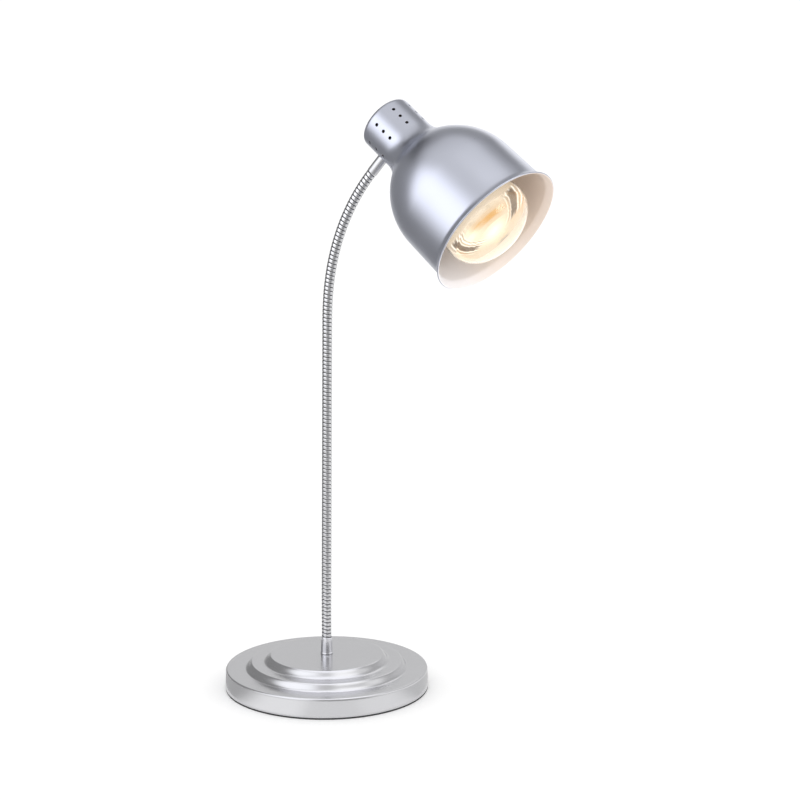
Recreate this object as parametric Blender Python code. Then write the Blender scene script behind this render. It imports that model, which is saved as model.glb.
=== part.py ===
"""Single-head gooseneck heat lamp warmer, table standing.

Frame: metres, +Z up, origin at the centre of the underside of the base.
The gooseneck bends in the XZ plane and leans towards +X. The head hangs on
the upper ferrule and is swivelled about it, so it also looks a little to -Y.
"""
import math

import bmesh
import bpy
from mathutils import Matrix, Vector

# ----------------------------------------------------------------------------
# driving dimensions (millimetres unless the name says otherwise)
# ----------------------------------------------------------------------------
GAP = 0.3                      # clearance kept between touching pieces

# base
PAD_T = 2.0
PAD_R = 145.8
COVER_R_FOOT = 146.0           # outer radius at the foot of the rim
COVER_R_TOP = 145.0            # outer radius at the top edge of the rim
COVER_T = 1.2                  # sheet thickness
COVER_Z0 = PAD_T + GAP         # underside of the rim
RIM_Z = 29.6                   # top of the lowest tier
TIER_Z = 39.2                  # top of the middle tier
PLATEAU_Z = 48.8               # top of the plateau
STEP2_R0, STEP2_R1 = 118.0, 107.0   # foot and head radius of the lower step
STEP1_R0, STEP1_R1 = 93.5, 79.5     # foot and head radius of the upper step
RIM_EDGE_R = 2.2
PLATE_T = 2.0
PLATE_R = 143.4
WEIGHT_R = 112.0
WEIGHT_BORE_R = 34.0
WEIGHT_T = 12.0
SCREW_PCR = 72.0               # pitch circle radius of the plate screws

# gooseneck
NECK_R = 7.0
NECK_BORE_R = 4.1
NECK_LEAN = 0.62               # degrees off vertical along the straight stretch
NECK_TURN = 38.34              # degrees off vertical at the cap
NECK_BEND_AT = 481.4           # length from the plateau to the start of the bend
NECK_BEND_POW = 1.244
NECK_LEN = 703.8               # plateau to the start of the upper ferrule
NECK_LINKS = 12
LOW_FERRULE_L = 24.5
LOW_FERRULE_R0, LOW_FERRULE_R1 = 8.7, 7.75
UP_FERRULE_R = 7.4
LEAD_R = 2.7
BALL_R = NECK_R
SOCKET_R = NECK_R + 0.55

# head, t is the distance from the mouth plane towards the cap
HEAD_SWIVEL = -19.33           # degrees about the upper ferrule
FERRULE_TO_AXIS = 63.6         # start of the upper ferrule to the head axis
HEAD_LEN = 235.1               # mouth plane to top of the cap
HEAD_FERRULE_T = 202.1         # ferrule axis above the mouth plane
CAP_R = 39.1
CAP_EDGE_R = 6.0
CAP_FILLET_R = 40.0
BELL_R = 101.0                 # radius of the shoulder arc in section
BELL_TAPER = 1.5               # degrees
SKIRT_T = 77.0                 # where the shoulder arc meets the skirt
LIP_T = 12.0                   # depth of the lip flare
SKIRT_R = 92.9                 # outer radius where the lip starts
MOUTH_R = 99.2
BEAD_R = 1.2
SHADE_T = 1.2                  # sheet thickness
VENT_COLUMNS = 7               # the place of the eighth is taken by the neck
VENT_PITCH = 46.5              # degrees
VENT_T = (218.7, 204.6, 190.6)
VENT_R = 2.3

# bulb, infrared reflector lamp, E27
BULB_R = 62.5
BULB_WIDE_T = 20.0             # widest ring, from the mouth plane
BULB_DOME = 41.0               # from the widest ring to the front
BULB_WALL = 1.2
BULB_NECK_R = 17.5
BULB_NECK_T = 104.0
BULB_CAP_R = 13.1
BULB_GLASS_END_T = 129.0
BULB_END_T = 154.0

MM = 0.001


# ----------------------------------------------------------------------------
# helpers
# ----------------------------------------------------------------------------
def clear_scene():
    for ob in list(bpy.data.objects):
        bpy.data.objects.remove(ob, do_unlink=True)


_materials = {}


def material(name, color, rough, metal=0.0, alpha=1.0, transmission=0.0, emission=0.0):
    if name in _materials:
        return _materials[name]
    m = bpy.data.materials.new(name)
    m.use_nodes = True
    p = m.node_tree.nodes["Principled BSDF"]
    p.inputs["Base Color"].default_value = (*color, 1.0)
    p.inputs["Roughness"].default_value = rough
    p.inputs["Metallic"].default_value = metal
    p.inputs["Alpha"].default_value = alpha
    p.inputs["Transmission Weight"].default_value = transmission
    if emission:
        p.inputs["Emission Color"].default_value = (*color, 1.0)
        p.inputs["Emission Strength"].default_value = emission
    _materials[name] = m
    return m


def finish(name, bm, mat, matrix=None, parent=None, origin=None, smooth=True):
    """Turn a bmesh in millimetre local coordinates into a named object in metres."""
    bmesh.ops.recalc_face_normals(bm, faces=bm.faces)
    if bm.calc_volume(signed=True) < 0:
        bmesh.ops.reverse_faces(bm, faces=bm.faces)
    bmesh.ops.scale(bm, vec=(MM, MM, MM), verts=bm.verts)
    me = bpy.data.meshes.new(name)
    place = matrix.copy() if matrix is not None else Matrix.Identity(4)
    place.translation = place.translation * MM
    if origin is not None:
        # keep the shape where it is and put the object's origin on the joint
        o = Vector(origin) * MM
        shift = Matrix.Translation(-(place.inverted() @ o))
        bmesh.ops.transform(bm, matrix=shift, verts=bm.verts)
        place = place @ shift.inverted()
    bm.to_mesh(me)
    bm.free()
    ob = bpy.data.objects.new(name, me)
    bpy.context.scene.collection.objects.link(ob)
    ob.matrix_world = place
    me.materials.append(mat)
    if smooth:
        me.shade_smooth()
        me.set_sharp_from_angle(angle=math.radians(32))
    if parent is not None:
        ob.parent = parent
        ob.matrix_parent_inverse = parent.matrix_world.inverted()
    return ob


def lathe(profile, n):
    """Spin a profile of (radius, height) points round Z. The profile is closed,
    unless both of its ends lie on the axis."""
    bm = bmesh.new()
    vs = [bm.verts.new((r, 0.0, z)) for r, z in profile]
    closed = not (profile[0][0] < 1e-9 and profile[-1][0] < 1e-9)
    edges = [bm.edges.new((vs[i], vs[i + 1])) for i in range(len(vs) - 1)]
    if closed:
        edges.append(bm.edges.new((vs[-1], vs[0])))
    bmesh.ops.spin(bm, geom=vs + edges, cent=(0, 0, 0), axis=(0, 0, 1),
                   angle=2 * math.pi, steps=n, use_merge=False, use_duplicate=False)
    bmesh.ops.remove_doubles(bm, verts=bm.verts, dist=5e-3)
    bmesh.ops.dissolve_degenerate(bm, edges=bm.edges, dist=1e-3)
    return bm


def loft(rings, closed_end_to_end):
    """Skin a list of equal rings of points; joins last to first, or caps both ends."""
    bm = bmesh.new()
    rr = [[bm.verts.new(p) for p in ring] for ring in rings]
    n = len(rr[0])
    last = len(rr) if closed_end_to_end else len(rr) - 1
    for i in range(last):
        a, b = rr[i], rr[(i + 1) % len(rr)]
        for k in range(n):
            bm.faces.new((a[k], a[(k + 1) % n], b[(k + 1) % n], b[k]))
    if not closed_end_to_end:
        bm.faces.new(rr[0])
        bm.faces.new(rr[-1])
    return bm


def prism(outline, z0, z1):
    """Extrude a flat outline of (x, y) points from z0 to z1."""
    bm = bmesh.new()
    face = bm.faces.new([bm.verts.new((x, y, z0)) for x, y in outline])
    out = bmesh.ops.extrude_face_region(bm, geom=[face])
    up = [g for g in out["geom"] if isinstance(g, bmesh.types.BMVert)]
    bmesh.ops.translate(bm, vec=(0, 0, z1 - z0), verts=up)
    return bm


def ngon(r, n, phase=0.0):
    return [(r * math.cos(2 * math.pi * k / n + phase), r * math.sin(2 * math.pi * k / n + phase)) for k in range(n)]


def add_cylinders(bm, specs):
    """Closed cylinders for a cutter: (point, axis, radius, half length, sides)."""
    for point, axis, r, half, n in specs:
        q = Vector(axis).normalized().to_track_quat("Z", "Y").to_matrix().to_4x4()
        bmesh.ops.create_cone(bm, cap_ends=True, segments=n, radius1=r, radius2=r, depth=2 * half,
                              matrix=Matrix.Translation(Vector(point)) @ q)


def cut(ob, name, bm, matrix=None):
    """Subtract a cutter made in the same local frame as the part."""
    c = finish(name, bm, material("cutter", (0.8, 0.2, 0.2), 0.5), matrix, smooth=False)
    c.hide_render = True
    c.display_type = "WIRE"
    mod = ob.modifiers.new(name, "BOOLEAN")
    mod.operation = "DIFFERENCE"
    mod.solver = "EXACT"
    mod.object = c
    return c


def arc(cx, cz, r, a0, a1, n):
    """Points of an arc, angles in degrees, as (radius, height)."""
    return [(cx + r * math.cos(math.radians(a0 + (a1 - a0) * k / n)),
             cz + r * math.sin(math.radians(a0 + (a1 - a0) * k / n))) for k in range(n + 1)]


def ease(u):
    return u * u * (3.0 - 2.0 * u)


# ----------------------------------------------------------------------------
# gooseneck centreline
# ----------------------------------------------------------------------------
def neck_angle(s):
    u = min(max((s - NECK_BEND_AT) / (NECK_LEN - NECK_BEND_AT), 0.0), 1.0)
    lean = NECK_LEAN * min(max((s - LOW_FERRULE_L) / 60.0, 0.0), 1.0)
    return math.radians(lean + (NECK_TURN - lean) * u ** NECK_BEND_POW)


_STEP = 0.25
_line = [(0.0, PLATEAU_Z)]
_s = 0.0
while _s < NECK_LEN + 2.0:
    _a = neck_angle(_s + _STEP / 2)
    _line.append((_line[-1][0] + math.sin(_a) * _STEP, _line[-1][1] + math.cos(_a) * _STEP))
    _s += _STEP


def neck_point(s):
    """Centreline point and tangent at length s above the plateau."""
    i = min(max(int(s / _STEP), 0), len(_line) - 2)
    f = s / _STEP - i
    x = _line[i][0] + (_line[i + 1][0] - _line[i][0]) * f
    z = _line[i][1] + (_line[i + 1][1] - _line[i][1]) * f
    a = neck_angle(s)
    return Vector((x, 0.0, z)), Vector((math.sin(a), 0.0, math.cos(a)))


def frame_at(point, zdir):
    """Matrix with its Z along zdir, its Y close to world Y."""
    z = zdir.normalized()
    x = Vector((0, 1, 0)).cross(z).normalized()
    y = z.cross(x)
    m = Matrix((x, y, z)).transposed().to_4x4()
    m.translation = point
    return m


FLEX_0 = LOW_FERRULE_L
PITCH = (NECK_LEN - FLEX_0) / (NECK_LINKS + 1)
HINGE_S = [FLEX_0 + PITCH * (i + 0.5) for i in range(NECK_LINKS + 1)]
HINGES = [neck_point(s) for s in HINGE_S]

JUNCTION, FERRULE_DIR = neck_point(NECK_LEN)
AXIS_POINT = JUNCTION + FERRULE_DIR * FERRULE_TO_AXIS
HEAD_AXIS = Matrix.Rotation(math.radians(HEAD_SWIVEL), 3, FERRULE_DIR) @ Vector(
    (FERRULE_DIR.z, 0.0, -FERRULE_DIR.x))
MOUTH = AXIS_POINT + HEAD_AXIS * HEAD_FERRULE_T


def head_matrix():
    """Local Z runs from the mouth up to the cap, local X points away from the neck."""
    z = -HEAD_AXIS
    x = FERRULE_DIR.copy()
    y = z.cross(x)
    m = Matrix((x, y, z)).transposed().to_4x4()
    m.translation = MOUTH
    return m


# ----------------------------------------------------------------------------
# base
# ----------------------------------------------------------------------------
def smooth_step(r0, z0, r1, z1, n):
    """S-shaped riser from (r0, z0) to (r1, z1), ends left out."""
    return [(r0 + (r1 - r0) * k / n, z0 + (z1 - z0) * ease(k / n)) for k in range(1, n)]


def make_base():
    steel = material("base_steel", (0.62, 0.62, 0.63), 0.38, 1.0)
    t = COVER_T
    e = RIM_EDGE_R
    outer = [(COVER_R_FOOT, COVER_Z0), (COVER_R_TOP + 0.15, RIM_Z - e)]
    outer += arc(COVER_R_TOP - e, RIM_Z - e, e, 20, 90, 3)
    outer += [(STEP2_R0, RIM_Z)] + smooth_step(STEP2_R0, RIM_Z, STEP2_R1, TIER_Z, 4) + [(STEP2_R1, TIER_Z)]
    outer += [(STEP1_R0, TIER_Z)] + smooth_step(STEP1_R0, TIER_Z, STEP1_R1, PLATEAU_Z, 4) + [(STEP1_R1, PLATEAU_Z)]
    outer += [(5.4, PLATEAU_Z)]
    inner = [(5.4, PLATEAU_Z - t)]
    inner += [(STEP1_R1 - 0.4, PLATEAU_Z - t)] + smooth_step(STEP1_R1 - 0.4, PLATEAU_Z - t, STEP1_R0 - 1.0, TIER_Z - t, 2)
    inner += [(STEP1_R0 - 1.0, TIER_Z - t), (STEP2_R1 - 0.4, TIER_Z - t)]
    inner += smooth_step(STEP2_R1 - 0.4, TIER_Z - t, STEP2_R0 - 1.0, RIM_Z - t, 2) + [(STEP2_R0 - 1.0, RIM_Z - t)]
    inner += [(COVER_R_TOP - e, RIM_Z - t), (COVER_R_TOP - t, RIM_Z - e), (COVER_R_FOOT - t, COVER_Z0)]
    cover = finish("base_cover", lathe(outer + inner, 44), steel)
    bm = bmesh.new()
    add_cylinders(bm, [((0, COVER_R_FOOT, 15.0), (0, 1, 0), 5.3, 12.0, 16)])
    cut(cover, "cut_cord_inlet", bm)

    finish("base_pad", lathe([(0, 0), (PAD_R, 0), (PAD_R, PAD_T), (0, PAD_T)], 48),
           material("pad_rubber", (0.02, 0.02, 0.02), 0.85), smooth=True)

    z0 = PAD_T + GAP
    plate = finish("base_plate", lathe([(0, z0), (PLATE_R, z0), (PLATE_R, z0 + PLATE_T), (0, z0 + PLATE_T)], 48),
                   material("plate_steel", (0.55, 0.56, 0.57), 0.45, 1.0))
    wz0 = z0 + PLATE_T + GAP
    weight = finish("base_weight", lathe([(WEIGHT_R, wz0), (WEIGHT_R, wz0 + WEIGHT_T - 2), (WEIGHT_R - 2, wz0 + WEIGHT_T),
                                          (WEIGHT_BORE_R, wz0 + WEIGHT_T), (WEIGHT_BORE_R, wz0)], 36),
                    material("weight_iron", (0.16, 0.16, 0.17), 0.7, 1.0))
    screw_mat = material("screw_steel", (0.6, 0.6, 0.6), 0.3, 1.0)
    plate_holes, weight_holes = bmesh.new(), bmesh.new()
    for k in range(3):
        a = math.radians(30 + 120 * k)
        x, y = SCREW_PCR * math.cos(a), SCREW_PCR * math.sin(a)
        bmesh.ops.create_cone(plate_holes, cap_ends=True, segments=12, radius1=5.3, radius2=2.8, depth=PLATE_T + 0.6,
                              matrix=Matrix.Translation((x, y, z0 + PLATE_T / 2)))
        add_cylinders(weight_holes, [((x, y, wz0 + 3.5), (0, 0, 1), 2.8, 4.5, 12)])
        bm = lathe([(0, z0 + 0.25), (4.6, z0 + 0.25), (2.4, z0 + PLATE_T), (2.4, wz0 + 7.2), (0, wz0 + 7.2)], 8)
        finish("plate_screw_%d" % (k + 1), bm, screw_mat, Matrix.Translation((x, y, 0)))
    cut(plate, "cut_plate_holes", plate_holes)
    es = (-46.0, 46.0)
    add_cylinders(weight_holes, [((es[0], es[1], wz0 + WEIGHT_T - 3), (0, 0, 1), 2.4, 4.0, 12)])
    cut(weight, "cut_weight_holes", weight_holes)
    bm = lathe([(0, wz0 + WEIGHT_T - 6), (2.0, wz0 + WEIGHT_T - 6), (2.0, wz0 + WEIGHT_T + GAP),
                (4.2, wz0 + WEIGHT_T + GAP), (4.2, wz0 + WEIGHT_T + 2.3), (3.2, wz0 + WEIGHT_T + 3.0), (0, wz0 + WEIGHT_T + 3.0)], 8)
    finish("earth_screw", bm, material("earth_brass", (0.72, 0.55, 0.25), 0.3, 1.0), Matrix.Translation((es[0], es[1], 0)))

    # terminal block: a long body with three clamp holes, on top of the ballast
    tz = wz0 + WEIGHT_T + GAP
    bm = prism([(-17, -9), (17, -9), (17, 9), (-17, 9)], tz, tz + 4)
    top = max(bm.faces, key=lambda f: f.calc_center_median().z)
    ins = bmesh.ops.inset_region(bm, faces=[top], thickness=2.5, use_even_offset=True)
    out = bmesh.ops.extrude_face_region(bm, geom=[top])
    bmesh.ops.translate(bm, vec=(0, 0, 10.5), verts=[g for g in out["geom"] if isinstance(g, bmesh.types.BMVert)])
    bmesh.ops.delete(bm, geom=[top], context="FACES_ONLY")
    block = finish("terminal_block", bm, material("block_plastic", (0.86, 0.86, 0.82), 0.5), Matrix.Translation((-60, 0, 0)), smooth=False)
    bm = bmesh.new()
    add_cylinders(bm, [((x, y, tz + 12.5), (0, 0, 1), 1.9, 4.0, 10) for x in (-8.5, 0.0, 8.5) for y in (-3.2, 3.2)])
    cut(block, "cut_terminal_wells", bm, Matrix.Translation((-60, 0, 0)))

    # cord inlet grommet, seen from behind only; its bore is open
    m = frame_at(Vector((0, COVER_R_FOOT, 15.0)), Vector((0, 1, 0.0001)))
    prof = [(3.4, -7.0), (7.2, -7.0), (7.2, -2.3), (4.9, -2.3), (4.9, 1.1), (8.2, 1.1), (8.2, 2.6), (6.4, 5.6), (3.4, 5.6)]
    finish("cord_grommet", lathe(prof, 16), material("grommet_rubber", (0.03, 0.03, 0.03), 0.7), m)


# ----------------------------------------------------------------------------
# gooseneck
# ----------------------------------------------------------------------------
N_SIDE = 10


def ring_at(m, r, z=0.0):
    return [m @ Vector((r * math.cos(2 * math.pi * k / N_SIDE), r * math.sin(2 * math.pi * k / N_SIDE), z))
            for k in range(N_SIDE)]


def socket_rings(m):
    """Concave seat round a hinge point, from the bore out to the rim."""
    out = []
    for r in (NECK_BORE_R, 5.6, NECK_R):
        out.append(ring_at(m, r, math.sqrt(SOCKET_R ** 2 - r ** 2)))
    return out


def ball_rings(m):
    """Half ball round a hinge point, cut short and countersunk for the lead."""
    top = 4.0
    out = [ring_at(m, BALL_R, 0.0), ring_at(m, math.sqrt(BALL_R ** 2 - 2.2 ** 2), 2.2),
           ring_at(m, math.sqrt(BALL_R ** 2 - top ** 2), top), ring_at(m, NECK_BORE_R + 0.95, top),
           ring_at(m, NECK_BORE_R, -1.5)]
    return out


def between(s0, s1):
    """Stations along the gooseneck: few where it is straight."""
    turn = math.degrees(abs(neck_angle(s1) - neck_angle(s0)))
    n = max(0, int(math.ceil(turn / 2.2)) - 1)
    return [s0 + (s1 - s0) * (k + 1) / (n + 1) for k in range(n)]


def neck_piece(name, i0, i1, parent=None, s_start=None, s_end=None):
    """One coil-tube link from hinge i0 to hinge i1; an end without a hinge is cut flat."""
    steel = material("neck_steel", (0.70, 0.70, 0.71), 0.28, 1.0)
    sa = HINGE_S[i0] if i0 is not None else s_start
    sb = HINGE_S[i1] if i1 is not None else s_end
    mid = between(sa + (9.0 if i0 is not None else 0.0), sb - (4.0 if i1 is not None else 0.0))
    rings = []
    if i0 is not None:
        rings += socket_rings(frame_at(*HINGES[i0]))
    else:
        m = frame_at(*neck_point(sa))
        rings += [ring_at(m, NECK_BORE_R), ring_at(m, NECK_R)]
    rings += [ring_at(frame_at(*neck_point(s)), NECK_R) for s in mid]
    if i1 is not None:
        rings += ball_rings(frame_at(*HINGES[i1]))
    else:
        m = frame_at(*neck_point(sb))
        rings += [ring_at(m, NECK_R), ring_at(m, NECK_BORE_R)]
    rings += [ring_at(frame_at(*neck_point(s)), NECK_BORE_R) for s in reversed(mid)]
    bm = loft(rings, True)
    return finish(name, bm, steel, parent=parent, origin=HINGES[i0][0] if i0 is not None else None)


def lead_piece(name, points, parent=None, origin=None):
    """Round lead along a list of (point, direction) stations."""
    rubber = material("lead_sheath", (0.05, 0.05, 0.055), 0.6)
    rings = []
    for p, d in points:
        m = frame_at(p, d)
        rings.append([m @ Vector((LEAD_R * math.cos(2 * math.pi * k / 6), LEAD_R * math.sin(2 * math.pi * k / 6), 0))
                      for k in range(6)])
    return finish(name, loft(rings, False), rubber, parent=parent, origin=origin)


def on_neck(sa, sb):
    return [neck_point(s) for s in [sa] + between(sa, sb) + [sb]]


def make_neck():
    steel = material("ferrule_steel", (0.74, 0.74, 0.75), 0.25, 1.0)
    # lower ferrule: a sleeve round the coil's end, a little wider at its foot
    m0 = frame_at(*neck_point(0.0))
    prof = [(LOW_FERRULE_R0, GAP), (LOW_FERRULE_R0, 2.2), (LOW_FERRULE_R0 - 0.35, 2.9), (LOW_FERRULE_R1, LOW_FERRULE_L - 0.8),
            (LOW_FERRULE_R1 - 0.15, LOW_FERRULE_L), (NECK_R + GAP, LOW_FERRULE_L), (NECK_R + GAP, 16.0), (5.3, 16.0), (5.3, GAP)]
    up = Matrix.Translation((0, 0, PLATEAU_Z))
    finish("lower_ferrule", lathe(prof, 16), steel, up)
    thread = material("nipple_steel", (0.6, 0.58, 0.5), 0.35, 1.0)
    finish("lower_nipple", lathe([(5.0, -9.5), (5.0, 15.6), (3.4, 15.6), (3.4, -9.5)], 12), thread, up)
    z = -COVER_T - GAP
    finish("lower_washer", lathe([(10.0, z), (10.0, z - 1.2), (5.3, z - 1.2), (5.3, z)], 18), steel, up)
    z -= 1.2 + GAP
    nut = prism(ngon(9.2, 6), z - 5.0, z)
    ob = finish("lower_nut", nut, thread, up, smooth=False)
    bm = bmesh.new()
    add_cylinders(bm, [((0, 0, z - 2.5), (0, 0, 1), 5.3, 6, 16)])
    cut(ob, "cut_lower_nut", bm, up)

    neck_piece("neck_root", None, 0, s_start=16.4)
    parent = None
    for i in range(NECK_LINKS):
        parent = neck_piece("neck_link_%02d" % (i + 1), i, i + 1, parent=parent)
        lead_piece("lead_%02d" % (i + 1), on_neck(HINGE_S[i] + 1.0, HINGE_S[i + 1] - 1.0),
                   parent=parent, origin=HINGES[i][0])
    tip = neck_piece("neck_tip", NECK_LINKS, None, parent=parent, s_end=NECK_LEN - GAP)
    # lead in the base: up from the terminal block, through the nipple to the first hinge
    top, _ = neck_point(HINGE_S[0] - 1.0)
    pts = []
    bend = 12.0
    x0, zlow = -45.0, PLATEAU_Z - 10.5 - bend
    pts.append((Vector((x0, 0, zlow)), Vector((1, 0, 0))))
    for k in range(7):
        a = math.radians(90.0 * k / 6)
        pts.append((Vector((-bend + bend * math.sin(a), 0, zlow + bend - bend * math.cos(a))),
                    Vector((math.cos(a), 0, math.sin(a)))))
    pts += [neck_point(s) for s in (1.0, 17.0, HINGE_S[0] - 1.0)]
    lead_piece("lead_base", pts)
    return tip


# ----------------------------------------------------------------------------
# head
# ----------------------------------------------------------------------------
def shade_section(offset, n_lip, n_bell, n_fillet, n_edge):
    """Points (radius, t) of the shade's section from the mouth to the cap top,
    moved inwards by offset."""
    tau = math.radians(BELL_TAPER)
    rs = SKIRT_R - (SKIRT_T - LIP_T) * math.tan(tau)
    ra, rf = BELL_R - offset, CAP_FILLET_R + offset
    cos_phi = (BELL_R * math.cos(tau) + CAP_FILLET_R - (rs - CAP_R)) / (BELL_R + CAP_FILLET_R)
    phi = math.acos(cos_phi)
    tc = SKIRT_T - BELL_R * math.sin(tau)            # centre of the shoulder arc
    rc = rs - BELL_R * math.cos(tau)
    t3 = tc + (BELL_R + CAP_FILLET_R) * math.sin(phi)  # fillet meets the cap
    pts = []
    for k in range(n_lip):
        u = k / n_lip
        pts.append((SKIRT_R + (MOUTH_R - 1.0 - SKIRT_R) * (1 - ease(u)) - offset, LIP_T * u))
    pts.append((SKIRT_R - offset, LIP_T))
    for k in range(n_bell + 1):
        a = tau + (phi - tau) * k / n_bell
        pts.append((rc + ra * math.cos(a), tc + ra * math.sin(a)))
    for k in range(1, n_fillet + 1):
        a = phi * (1 - k / n_fillet)
        pts.append((CAP_R + CAP_FILLET_R - rf * math.cos(a), t3 - rf * math.sin(a)))
    re = CAP_EDGE_R - offset
    for k in range(n_edge + 1):
        a = math.radians(90.0 * k / n_edge)
        pts.append((CAP_R - CAP_EDGE_R + re * math.cos(a), HEAD_LEN - CAP_EDGE_R + re * math.sin(a)))
    pts.append((0.0, HEAD_LEN - offset))
    return pts


def make_head(tip):
    hm = head_matrix()
    steel = material("ferrule_steel", (0.74, 0.74, 0.75), 0.25, 1.0)
    thread = material("nipple_steel", (0.6, 0.58, 0.5), 0.35, 1.0)
    silver = material("shade_silver", (0.66, 0.66, 0.68), 0.33, 1.0)
    joint = HINGES[-1][0]

    # shade: outer skin down from the cap, rolled bead at the mouth, inner skin back up
    outer = shade_section(0.0, 3, 7, 3, 2)
    inner = shade_section(SHADE_T, 2, 5, 2, 1)
    bead = arc(MOUTH_R - BEAD_R, BEAD_R, BEAD_R, 95, -140, 4)
    outer = outer[1:]
    inner = [p for p in inner if p[1] > 2.6]
    prof = list(reversed(outer)) + bead + inner
    shade = finish("shade", lathe(prof, 36), silver, hm, parent=tip, origin=joint)
    specs = []
    for c in range(VENT_COLUMNS):
        a = vent_angle(c)
        d = (math.cos(a), math.sin(a), 0.0)
        for t in VENT_T:
            specs.append(((d[0] * CAP_R, d[1] * CAP_R, t), d, VENT_R, 5.0, 8))
    specs.append(((-CAP_R, 0, HEAD_FERRULE_T), (1, 0, 0), 5.4, 6.0, 12))
    bm = bmesh.new()
    add_cylinders(bm, specs)
    cut(shade, "cut_vents", bm, hm)

    # pieces on the ferrule axis; local z here is the distance from the head axis, towards the neck
    fm = frame_at(AXIS_POINT, -FERRULE_DIR)
    fl0, fl1 = CAP_R + 0.4, FERRULE_TO_AXIS
    rr = UP_FERRULE_R
    prof = [(rr, fl0), (rr, fl1 - 0.6), (rr - 0.3, fl1), (5.3, fl1), (5.3, fl0)]
    finish("upper_ferrule", lathe(prof, 16), steel, fm, parent=tip, origin=joint)
    finish("upper_nipple", lathe([(5.0, 26.5), (5.0, fl1 - 1.0), (3.4, fl1 - 1.0), (3.4, 26.5)], 12), thread, fm,
           parent=tip, origin=joint)
    leg = 34.6                                     # inner face of the bracket's leg
    finish("upper_washer", lathe([(8.6, leg - GAP), (8.6, leg - GAP - 1.2), (5.3, leg - GAP - 1.2), (5.3, leg - GAP)], 18),
           steel, fm, parent=tip, origin=joint)
    nz = leg - GAP - 1.2 - GAP
    nut = finish("upper_nut", prism(ngon(8.8, 6, 0.4), nz - 5.0, nz), thread, fm, parent=tip, origin=joint, smooth=False)
    bm = bmesh.new()
    add_cylinders(bm, [((0, 0, nz - 2.5), (0, 0, 1), 5.3, 6, 16)])
    cut(nut, "cut_upper_nut", bm, fm)

    # bracket: leg against the cap wall, shelf across the head axis
    zinc = material("bracket_steel", (0.66, 0.67, 0.68), 0.4, 1.0)
    bt = 1.5
    shelf = 187.5                                  # underside of the shelf, t
    w = 9.0
    xa = -(leg + bt)
    side = [(xa, shelf), (16.0, shelf), (16.0, shelf + bt), (xa + bt, shelf + bt), (xa + bt, 214.0), (xa, 214.0)]
    bm = bmesh.new()
    face = bm.faces.new([bm.verts.new((x, -w, z)) for x, z in side])
    out = bmesh.ops.extrude_face_region(bm, geom=[face])
    bmesh.ops.translate(bm, vec=(0, 2 * w, 0), verts=[g for g in out["geom"] if isinstance(g, bmesh.types.BMVert)])
    bracket = finish("holder_bracket", bm, zinc, hm, parent=tip, origin=joint, smooth=False)
    bm = bmesh.new()
    add_cylinders(bm, [((-(leg + bt / 2), 0, HEAD_FERRULE_T), (1, 0, 0), 5.3, 3.0, 16)])
    add_cylinders(bm, [((x, 0, shelf + bt / 2), (0, 0, 1), 2.2, 3.0, 12) for x in (-12.0, 12.0)])
    cut(bracket, "cut_bracket_holes", bm, hm)

    # ceramic lampholder, its brass shell and centre contact
    top = shelf - GAP
    ceramic = material("holder_ceramic", (0.88, 0.87, 0.83), 0.35)
    prof = [(14.9, 126.0), (20.5, 126.0), (23.0, 129.0), (23.0, 139.0), (21.0, 143.0), (21.0, top - 3.0), (19.0, top),
            (4.4, top), (4.4, 164.0), (14.9, 160.0)]
    holder = finish("lampholder_body", lathe(prof, 20), ceramic, hm, parent=tip, origin=joint)
    bm = bmesh.new()
    add_cylinders(bm, [((x, 0, top - 3.0), (0, 0, 1), 2.2, 5.0, 12) for x in (-12.0, 12.0)])
    cut(holder, "cut_holder_holes", bm, hm)
    brass = material("contact_brass", (0.76, 0.6, 0.3), 0.3, 1.0)
    finish("lampholder_shell", lathe([(14.5, 129.0), (14.5, 157.0), (13.9, 157.0), (13.9, 129.0)], 20), brass, hm,
           parent=tip, origin=joint)
    finish("lampholder_contact", lathe([(0, 154.4), (4.0, 155.4), (4.0, 157.4), (3.6, 158.0), (3.6, 170.0), (0, 170.0)], 12),
           brass, hm, parent=tip, origin=joint)
    screw = material("screw_steel", (0.6, 0.6, 0.6), 0.3, 1.0)
    for k, x in enumerate((-12.0, 12.0)):
        z = shelf + bt + GAP
        prof = [(0, top - 7.0), (1.8, top - 7.0), (1.8, z), (3.4, z), (3.4, z + 1.6), (2.4, z + 2.4), (0, z + 2.4)]
        finish("holder_screw_%d" % (k + 1), lathe(prof, 8), screw, hm @ Matrix.Translation((x, 0, 0)),
               parent=tip, origin=joint)

    # lead in the head: from the last hinge through the nipple, then down to the holder
    d = FERRULE_DIR
    zl = -HEAD_AXIS
    pts = [(neck_point(s)) for s in (HINGE_S[-1] + 1.0, NECK_LEN)]
    b = 9.0
    run = 19.0
    pts += [(AXIS_POINT - d * (run + b), d)]
    for k in range(1, 6):
        a = math.radians(90.0 * k / 5)
        pts.append((AXIS_POINT - d * (run + b - b * math.sin(a)) - zl * (b - b * math.cos(a)),
                    d * math.cos(a) - zl * math.sin(a)))
    lead_piece_general("lead_head", pts, parent=tip, origin=joint)


def lead_piece_general(name, points, parent, origin):
    """Lead whose route leaves the XZ plane: the ring frame is carried along it."""
    rubber = material("lead_sheath", (0.05, 0.05, 0.055), 0.6)
    rings = []
    x = None
    for p, d in points:
        d = d.normalized()
        if x is None:
            x = Vector((0, 1, 0)).cross(d)
        x = (x - d * x.dot(d)).normalized()
        y = d.cross(x)
        rings.append([p + (x * math.cos(2 * math.pi * k / 6) + y * math.sin(2 * math.pi * k / 6)) * LEAD_R
                      for k in range(6)])
    return finish(name, loft(rings, False), rubber, parent=parent, origin=origin)


def vent_angle(c):
    return math.radians(VENT_PITCH) * (c - (VENT_COLUMNS - 1) / 2)


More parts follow.
